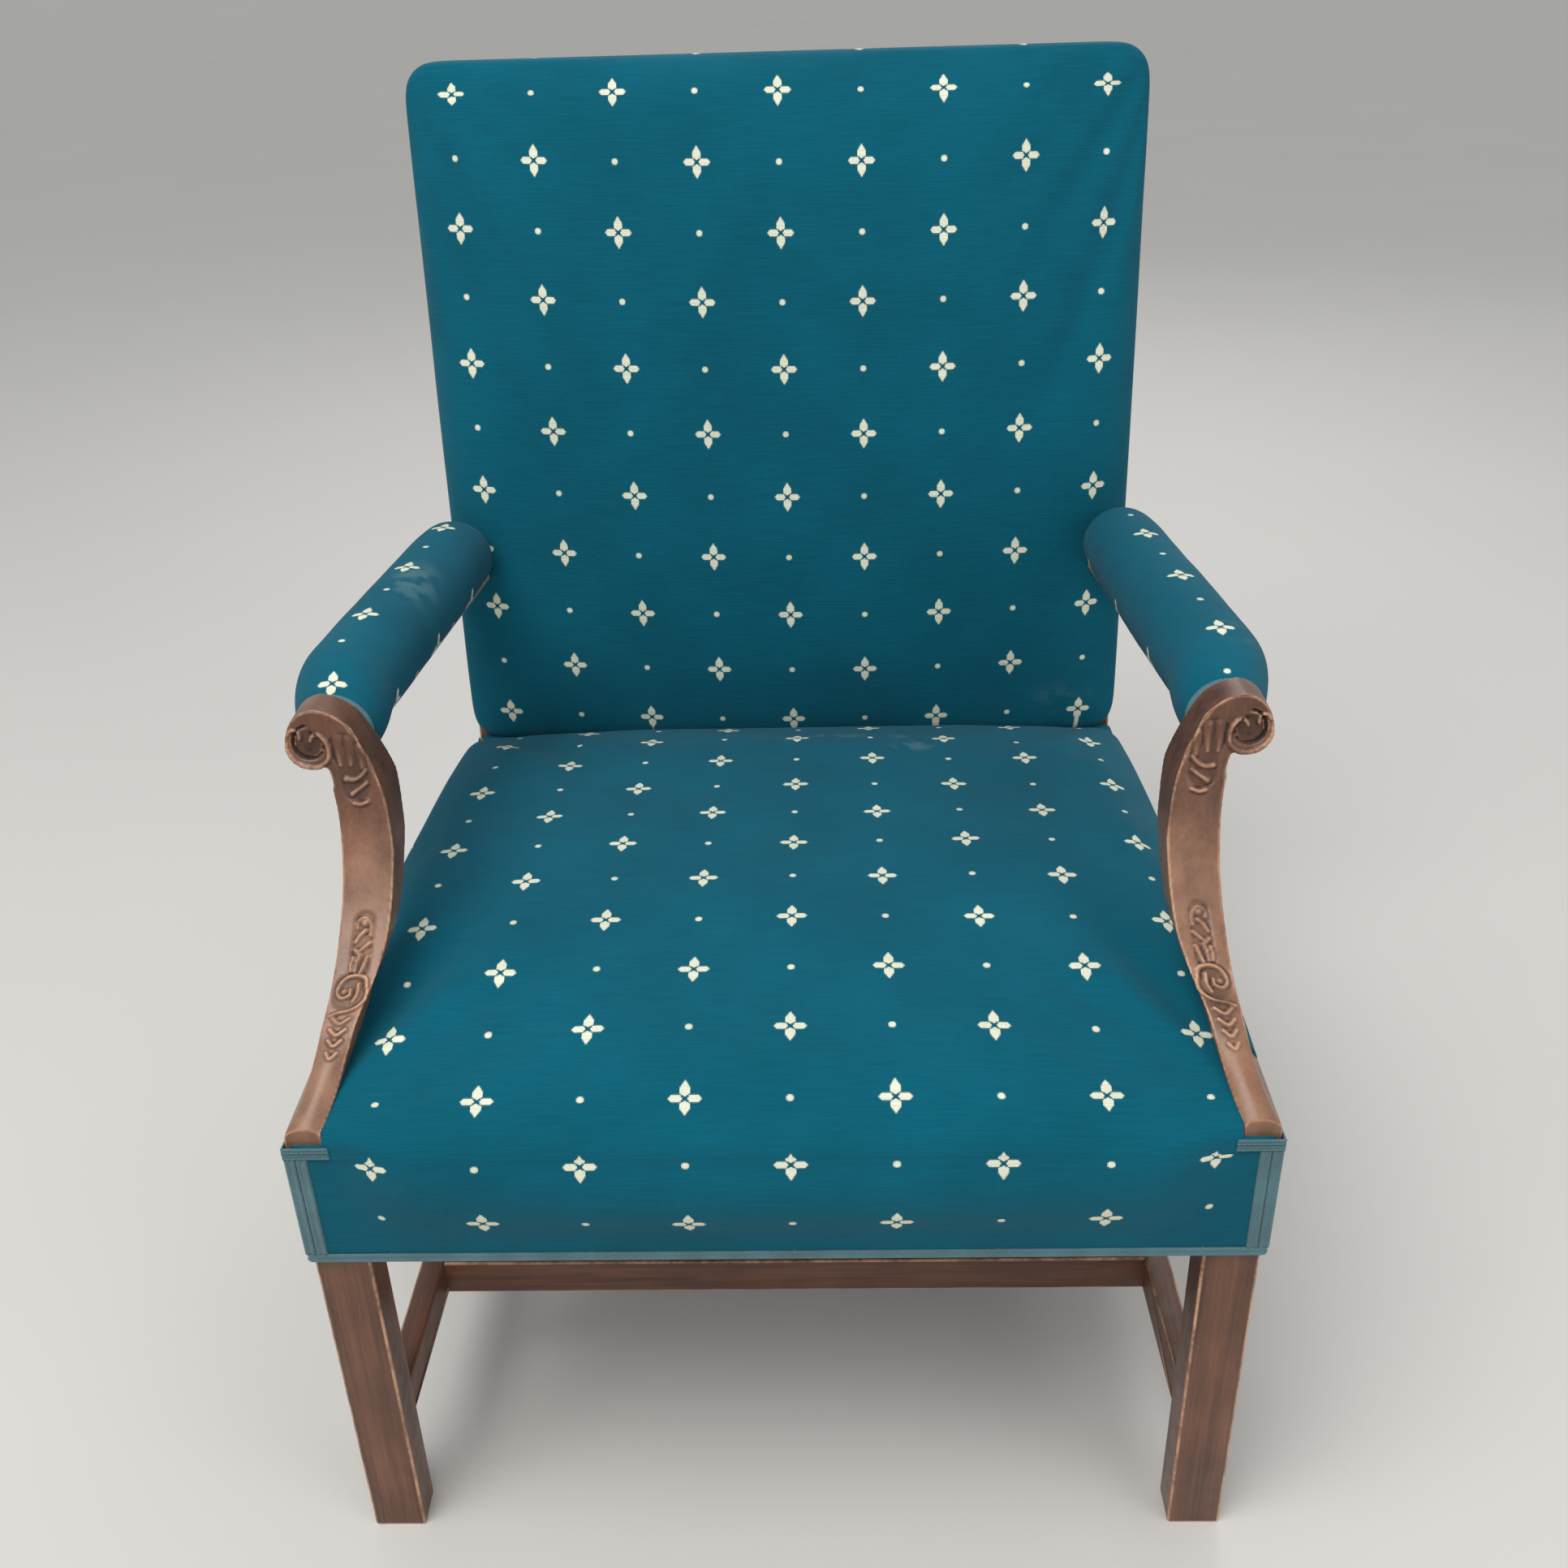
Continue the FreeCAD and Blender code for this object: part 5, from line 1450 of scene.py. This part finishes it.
class Carver:
    """Raises and sinks the front face of a support along strokes given in millimetres."""

    def __init__(self, across, along):
        self.across, self.along = across * 1000, along * 1000
        self.high = np.zeros_like(across)
        self.low = np.zeros_like(across)

    @property
    def rise(self):
        return self.high - self.low

    def swept(self, line):
        """A stroke's points with the smooth curve through them filled in."""
        line = np.asarray(line, float)
        if len(line) < 3:
            return line
        runs = np.linalg.norm(np.diff(line, axis=0), axis=1)
        places = np.concatenate(([0], np.cumsum(runs)))
        at = np.linspace(0, places[-1], 4 * len(line))
        return np.stack([flowing(at, places, line[:, k]) for k in (0, 1)], axis=1)

    def distance(self, line):
        """From each point to a stroke, and how far along the stroke, from 0 to 1."""
        spots = np.stack((self.across, self.along), axis=1)
        off, along, length = nearest_on(spots, self.swept(line))
        return off, along / length

    def ridge(self, line, width, height, end_width=None):
        """A rounded roll along a stroke."""
        off, share = self.distance(line)
        wide = width + ((end_width or width) - width) * share
        self.high = np.maximum(self.high, height * self.rounded(off, wide))

    def groove(self, line, width, depth, end_width=None):
        """A rounded channel along a stroke."""
        off, share = self.distance(line)
        wide = width + ((end_width or width) - width) * share
        self.low = np.maximum(self.low, depth * self.rounded(off, wide))

    def rounded(self, off, wide):
        return np.clip(1 - (off / (0.6 * wide)) ** 2, 0, 1) ** 0.75

    def ground(self, line, width, depth):
        """Sinks the ground round a stroke, with a steep side."""
        off = self.distance(line)[0]
        self.low = np.maximum(self.low, depth * (1 - step_up(off, width * 0.75, width)))

    def bead(self, spot, radius, height):
        self.ridge([spot, (spot[0] + 0.1, spot[1])], radius * 1.7, height)


def carve_head(tool):
    """Volute and leaf in millimetres, (outward, up) from the volute's centre."""
    tool.ground([(0, 0), (0.1, 0)], 12.0, 1.2)
    tool.ridge([(16, 14), (17, 5), (15, -5), (9.5, -12.5), (1, -16), (-8, -15.5), (-14, -11),
                (-15.5, -4.5), (-13.5, 2.5), (-9, 6.5), (-4.5, 6), (-2.5, 2.5)], 4.5, 2.0, 3.0)
    tool.groove([(-1.5, -5.5), (-1.4, -5.5)], 6.0, 1.8)
    tool.ridge([(5, 4), (6, 9), (10, 10.5), (13, 7)], 2.8, 1.6, 2.0)
    tool.groove([(8.5, 23.5), (-2, 26.5), (-15.5, 25.5), (-25, 21.5), (-32.5, 13), (-39, 2.5),
                 (-42.5, -4.5), (-46.5, -16)], 5.0, 1.2)
    tool.ground([(-25, -2), (-31, -14), (-33, -30)], 12.0, 1.0)
    for line in ([(-21.5, 4), (-21.5, -5), (-22.5, -15)], [(-30, 3), (-30, -6), (-30, -15)],
                 [(-37, -3), (-37.5, -10), (-38, -17)]):
        tool.ridge(line, 6.4, 1.3, 3.4)
    for line in ([(-25.5, -25), (-31, -25.5), (-37, -22.5), (-40, -19)],
                 [(-29.5, -35), (-35, -31.5), (-40, -28)],
                 [(-31, -41), (-35.5, -42), (-40.5, -40.5)]):
        tool.ridge(line, 4.0, 1.8, 2.8)


def carve_foliage(tool):
    """Scroll, curls and tapering leaf in millimetres, (outward, up the slope)."""
    tool.ground([(0, -2), (0.1, -2)], 15.0, 1.1)
    tool.ground([(-1, 14), (0, 30), (0, 48)], 8.5, 1.0)
    tool.ridge([(-10.5, 1), (-8.5, 6.5), (-2, 9), (5, 7.5), (9, 2), (9, -4), (4.5, -7.5),
                (0, -5), (0.5, -1)], 3.4, 1.9, 2.6)
    tool.bead((4.5, -2.5), 2.4, 1.5)
    tool.ridge([(-10.5, 1), (-12, -6), (-9, -13), (-3, -17), (4, -18.5), (9, -21)], 3.2, 1.6, 2.4)
    tool.ridge([(-4, 3), (-5, -4), (-3.5, -10)], 2.6, 1.5)
    tool.bead((0, 47.5), 3.0, 1.6)
    tool.ridge([(-5, 38), (-4.5, 46), (0, 51), (5, 47.5), (5, 43)], 2.4, 1.4, 1.8)
    for line in ([(-1, 41.5), (2.5, 38), (5, 33)], [(-5.5, 33), (-2, 29.5), (2, 26)],
                 [(4.5, 28), (1, 24)], [(-5.5, 23), (-4, 16), (-2.5, 10)],
                 [(0, 24), (1.5, 18), (1, 12)], [(4.5, 22), (5, 16), (4, 12)]):
        tool.ridge(line, 3.2, 1.7, 2.2)
    for along, half in ((-25, 6.0), (-33, 5.5), (-41, 4.5), (-50, 3.5)):
        tool.ridge([(-half, along + 2.5), (0, along - 1.5), (half, along + 2.5)], 3.2, 1.4)


FOLIAGE_START = (0.0815, 0.4695)                # behind the front legs' faces, and up
FOLIAGE_SLOPE = (0.762, 0.647)                  # the way up the face there, back and up
HEAD_FROM = 0.535                               # height where the head's carving begins

# Heights up a support, and how far its inner and outer edges stand out from the timber's
INNER_HEIGHTS = (0.435, 0.452, 0.466, 0.482, 0.50, 0.52, 0.545, 0.57, 0.59, 0.61, 0.625)
INNER_SWELLS = (0.0, 0.001, 0.0045, 0.007, 0.0065, 0.005, 0.004, 0.0043, 0.0032, 0.0015, 0.0)
OUTER_HEIGHTS = (0.38, 0.405, 0.42, 0.435, 0.45, 0.463, 0.48, 0.497, 0.517,
                 0.535, 0.56, 0.575, 0.60)
OUTER_SWELLS = (0.0015, 0.0015, -0.0018, -0.0033, -0.0033, -0.0025, -0.001, 0.0003, 0.0015,
                0.0025, 0.0015, 0.001, 0.0)
LIP_START, LIP_TOP, LIP_END = 0.397, 0.412, 0.45    # heights of the arched lip of the foot
LIP_FALL_SHARE = 0.35
SLICE = 0.004


def edges_at(across, z):
    """The support's inner and outer edge at each point's own height."""
    base = z.min()
    level = ((z - base) / SLICE).astype(int)
    inner, outer = np.full(level.max() + 1, np.inf), np.full(level.max() + 1, -np.inf)
    np.minimum.at(inner, level, across)
    np.maximum.at(outer, level, across)
    filled = np.isfinite(inner)
    places = (base + (np.arange(len(inner)) + 0.5) * SLICE)[filled]
    return np.interp(z, places, inner[filled]), np.interp(z, places, outer[filled])


def support_body(side, name, voxel):
    """A support's timber, its waist filled out and the lip of its foot arched."""
    way = SIDES[side]
    support = copy_of("arm_support_" + side, name)
    finish_with(support, "REMESH", mode="VOXEL", voxel_size=voxel)
    points = points_of(support)
    across, z = points[:, 0] * way, points[:, 2]
    inner, outer = edges_at(across, z)
    share = np.clip((across - inner) / np.maximum(outer - inner, CLEAR), 0, 1)
    across = (across - flowing(z, INNER_HEIGHTS, INNER_SWELLS) * (1 - share)
              + flowing(z, OUTER_HEIGHTS, OUTER_SWELLS) * share)
    fall = LIP_FALL_SHARE * (2 * share - 1) ** 2 * np.clip(z - LIP_START, 0, None)
    points[:, 0] = across * way
    points[:, 2] = z - fall * (1 - step_up(z, LIP_TOP, LIP_END))
    move_to(support, points)
    return support


class ARMCHAIR_OT_supports(bpy.types.Operator):
    """Carve the arm supports"""
    bl_idname = "armchair.supports"
    bl_label = "Arm supports"

    def execute(self, context):
        material = mahogany_material("Mahogany, supports", paling=0.38)
        for side, way in SIDES.items():
            support = self.carved(side, way)
            put_on(support, "mahogany", material, "arm_support_" + side)
        return {"FINISHED"}

    def carved(self, side, way):
        name = "arm_support_" + side
        low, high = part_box(name)
        support = support_body(side, name + "_carved", SUPPORT_VOXEL)
        finish_with(support, "SMOOTH", factor=0.5, iterations=7)
        points, normals = points_of(support), normals_of(support)
        across, height = points[:, 0] * way, points[:, 2]
        volute = (high.x if way > 0 else -low.x) - VOLUTE_RADIUS, high.z - VOLUTE_DROP
        head = Carver(across - volute[0], height - volute[1])
        carve_head(head)
        y0, z0 = FOLIAGE_START
        back, up = FOLIAGE_SLOPE
        inner, outer = edges_at(across, height)
        foliage = Carver(across - (inner + outer) / 2,
                         (points[:, 1] - FRONT - y0) * back + (height - z0) * up)
        carve_foliage(foliage)
        upper = height > HEAD_FROM
        facing = -normals[:, 1] + np.where(upper, 0.0, 0.7 * np.clip(normals[:, 2], 0, 1))
        rise = np.where(upper, head.rise, foliage.rise) * step_up(facing, 0.3, 0.7)
        move_to(support, points + normals * (rise * 0.001)[:, None])
        finish_with(support, "SMOOTH", factor=0.3, iterations=1)
        bend = self.bend_of(support)
        low_part = 1 - step_up(height, 0.50, 0.58)
        hollow = step_up(-rise, 0.5, 1.5)
        # ridges and arrises marked rubbed and painted lighter, partly as a painted highlight;
        # hollows marked dirty
        mark_wear_and_highlight(support, wear=step_up(bend, 0.03, 0.11) * (0.75 + 0.25 * low_part),
                  dirt=np.maximum(step_up(-bend, 0.02, 0.10), 0.75 * hollow),
                  # fade: 1 below the head, falling off up the head
                  fade=1 - 0.85 * step_up(height, 0.51, 0.565))
        only(support)
        bpy.ops.object.shade_smooth()
        return support

    def bend_of(self, piece):
        """How sharply the surface bends at each point: above 0 on arrises, below in hollows."""
        mesh = piece.data
        points, normals = points_of(piece), normals_of(piece)
        a, b = read_all(mesh.edges, "vertices", 2).reshape(-1, 2).T
        way = points[b] - points[a]
        length = np.maximum(np.linalg.norm(way, axis=1), 1e-6)
        total, count = np.zeros(len(points)), np.zeros(len(points))
        for here, sign in ((a, -1.0), (b, 1.0)):
            slope = sign * (way * normals[here]).sum(1) / length
            np.add.at(total, here, slope)
            np.add.at(count, here, 1)
        bend = total / np.maximum(count, 1)
        for _ in range(4):
            mean = np.zeros(len(points))
            np.add.at(mean, a, bend[b])
            np.add.at(mean, b, bend[a])
            bend = (bend + mean / np.maximum(count, 1)) / 2
        return bend


class ARMCHAIR_OT_inner_frame(bpy.types.Operator):
    """Give the rails, blocks, screws, webbing and hessian their finishes"""
    bl_idname = "armchair.inner_frame"
    bl_label = "Inner frame"

    def execute(self, context):
        beech, steel = beech_material(), steel_material()
        webbing = coarse_cloth_material("Jute webbing", srgb(168, 140, 104), 0.0022,
                                        stripe=0.025)
        flax, thread = srgb(158, 128, 88), 0.0018
        hessian = coarse_cloth_material("Hessian", flax, thread)
        upright = coarse_cloth_material("Hessian, upright", flax, thread, LENGTHWISE["back"])
        finishes = {"corner_blocks": beech, "corner_block_screws": steel, "arm_screws": steel,
                    "seat_webbing": webbing, "back_webbing": webbing, "seat_hessian": hessian,
                    "back_hessian": upright}
        for name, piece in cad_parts.items():
            if name.endswith("_rail") or "_rail_" in name:
                finishes[name] = beech
            if name in finishes:
                piece.data.materials.clear()
                piece.data.materials.append(finishes[name])
        self.bottom_cloth()
        return {"FINISHED"}

    def bottom_cloth(self):
        """The dust cloth, sagging a little between its tacks."""
        sheet = strip("dust_cloth", 70, 70)
        s, t = points_of(sheet).T[:2]
        low, high = UNDER
        y = low.y + (high.y - low.y) * (t + 1) / 2
        front_in = LEG_SIZE - UNDER_INSET + CLEAR * 2
        inset_front = np.where(y < FRONT + LEG_SIZE + CLEAR * 2, front_in, 0.0)
        inset_rear = np.where(y > POST_FRONT - CLEAR * 2, LEG_SIZE, 0.0)
        half = side_half(y) - UNDER_INSET - inset_front - inset_rear
        x = s * half
        edge = np.minimum(1 - np.abs(s), 1 - np.abs(t))
        sag = 0.007 * step_up(edge, 0.0, 0.8)
        pull = 0.0008 * (1 - step_up(edge, 0.0, 0.12)) * (1 + np.cos((x + y) * 2 * math.pi
                                                                     / 0.04))
        z = high.z - 0.0006 - sag - pull
        move_to(sheet, np.stack((x, y, z), axis=1))
        with_all(sheet, bpy.ops.mesh.flip_normals)
        finish_with(sheet, "SOLIDIFY", thickness=0.0005, offset=1.0)
        smooth_faces(sheet, 50.0)
        put_on(sheet, "black_cloth", coarse_cloth_material("Dust cloth", srgb(36, 34, 36),
                                                           0.0012), "bottom_cloth")


# The studio

class ARMCHAIR_OT_studio(bpy.types.Operator):
    """Set the floor, the lights and the camera"""
    bl_idname = "armchair.studio"
    bl_label = "Studio"

    def execute(self, context):
        scene, studio = context.scene, context.scene.armchair_studio
        scene.view_settings.view_transform = "Standard"
        bpy.ops.mesh.primitive_circle_add(vertices=96, radius=30, fill_type="NGON")
        floor = settle("studio_floor")
        floor.data.materials.append(floor_material())
        self.camera(scene, studio)
        middle = Vector((0.0, 0.0, 0.5))
        for name, place, size, power in (("key", (-0.9, -1.3, 3.2), 2.2, 72.0),
                                         ("fill", (2.4, -2.2, 1.9), 2.4, 22.0),
                                         ("rear", (0.5, 2.8, 2.6), 2.0, 24.0)):
            self.lamp(name, Vector(place), middle, size, power)
        self.world(scene)
        return {"FINISHED"}

    def camera(self, scene, studio):
        tilt, turn = studio.pitch, -studio.turn
        ahead = Vector((math.sin(turn) * math.cos(tilt), math.cos(turn) * math.cos(tilt),
                        -math.sin(tilt)))
        level = Vector((math.cos(turn), -math.sin(turn), 0.0))
        above = level.cross(ahead)
        right = level * math.cos(studio.roll) + above * math.sin(studio.roll)
        up = above * math.cos(studio.roll) - level * math.sin(studio.roll)
        camera = bpy.data.objects.new("camera", bpy.data.cameras.new("camera"))
        scene.collection.objects.link(camera)
        camera.data.lens = studio.focal
        camera.data.sensor_width = 36.0
        camera.data.clip_end = 100.0
        turned = Matrix((right, up, -ahead)).transposed().to_4x4()
        camera.matrix_world = Matrix.Translation(studio.stand) @ turned
        scene.camera = camera

    def lamp(self, name, place, target, size, power):
        data = bpy.data.lights.new(name, "AREA")
        data.energy, data.size, data.shape = power, size, "DISK"
        lamp = bpy.data.objects.new(name, data)
        bpy.context.scene.collection.objects.link(lamp)
        lamp.location = place
        lamp.rotation_euler = (target - place).to_track_quat("-Z", "Y").to_euler()

    def world(self, scene):
        world = bpy.data.worlds.new("studio")
        world.use_nodes = True
        scene.world = world
        tree = world.node_tree
        tree.nodes.clear()
        path = tree.nodes.new("ShaderNodeLightPath").outputs
        seen = calc(tree, "MAXIMUM", path["Is Camera Ray"], path["Is Glossy Ray"])
        seen = calc(tree, "MAXIMUM", seen, path["Is Transmission Ray"])
        soft = node(tree, "ShaderNodeBackground", {"Color": (0.93, 0.96, 1.0, 1.0),
                                                   "Strength": 0.5})
        pale = node(tree, "ShaderNodeBackground", {"Color": opaque(srgb(222, 221, 218)),
                                                   "Strength": 1.0})
        both = node(tree, "ShaderNodeMixShader", {0: seen, 1: soft.outputs[0],
                                                  2: pale.outputs[0]})
        end = tree.nodes.new("ShaderNodeOutputWorld")
        tree.links.new(both.outputs[0], end.inputs["Surface"])


OPERATORS = (ARMCHAIR_OT_studio, ARMCHAIR_OT_inner_frame, ARMCHAIR_OT_legs, ARMCHAIR_OT_supports,
             ARMCHAIR_OT_seat, ARMCHAIR_OT_back, ARMCHAIR_OT_arm_pads, ARMCHAIR_OT_gimp)
GROUPS = {"armchair_cloth": ArmchairCloth, "armchair_stuffing": ArmchairStuffing,
          "armchair_wood": ArmchairWood, "armchair_studio": ArmchairStudio}


class ARMCHAIR_PT_panel(bpy.types.Panel):
    """Sizes, colours and the steps of making the chair"""
    bl_label = "Open Armchair"
    bl_idname = "ARMCHAIR_PT_panel"
    bl_space_type = "VIEW_3D"
    bl_region_type = "UI"
    bl_category = "Armchair"

    def draw(self, context):
        layout = self.layout
        for attribute, group in GROUPS.items():
            box = layout.box()
            box.label(text=group.__doc__)
            for name in group.__annotations__:
                box.prop(getattr(context.scene, attribute), name)
        for operator in OPERATORS:
            layout.operator(operator.bl_idname)


def register():
    for group in GROUPS.values():
        bpy.utils.register_class(group)
    for attribute, group in GROUPS.items():
        setattr(bpy.types.Scene, attribute, bpy.props.PointerProperty(type=group))
    for operator in OPERATORS:
        bpy.utils.register_class(operator)
    bpy.utils.register_class(ARMCHAIR_PT_panel)


def unregister():
    bpy.utils.unregister_class(ARMCHAIR_PT_panel)
    for operator in reversed(OPERATORS):
        bpy.utils.unregister_class(operator)
    for attribute in GROUPS:
        delattr(bpy.types.Scene, attribute)
    for group in reversed(GROUPS.values()):
        bpy.utils.unregister_class(group)


def main():
    register()
    for make_group in (figure_group, weave_group, grain_group, wear_and_highlight_group, plait_group):
        make_group()
    for operator in OPERATORS:
        getattr(bpy.ops.armchair, operator.bl_idname.split(".")[1])()


if __name__ == "__main__":
    main()
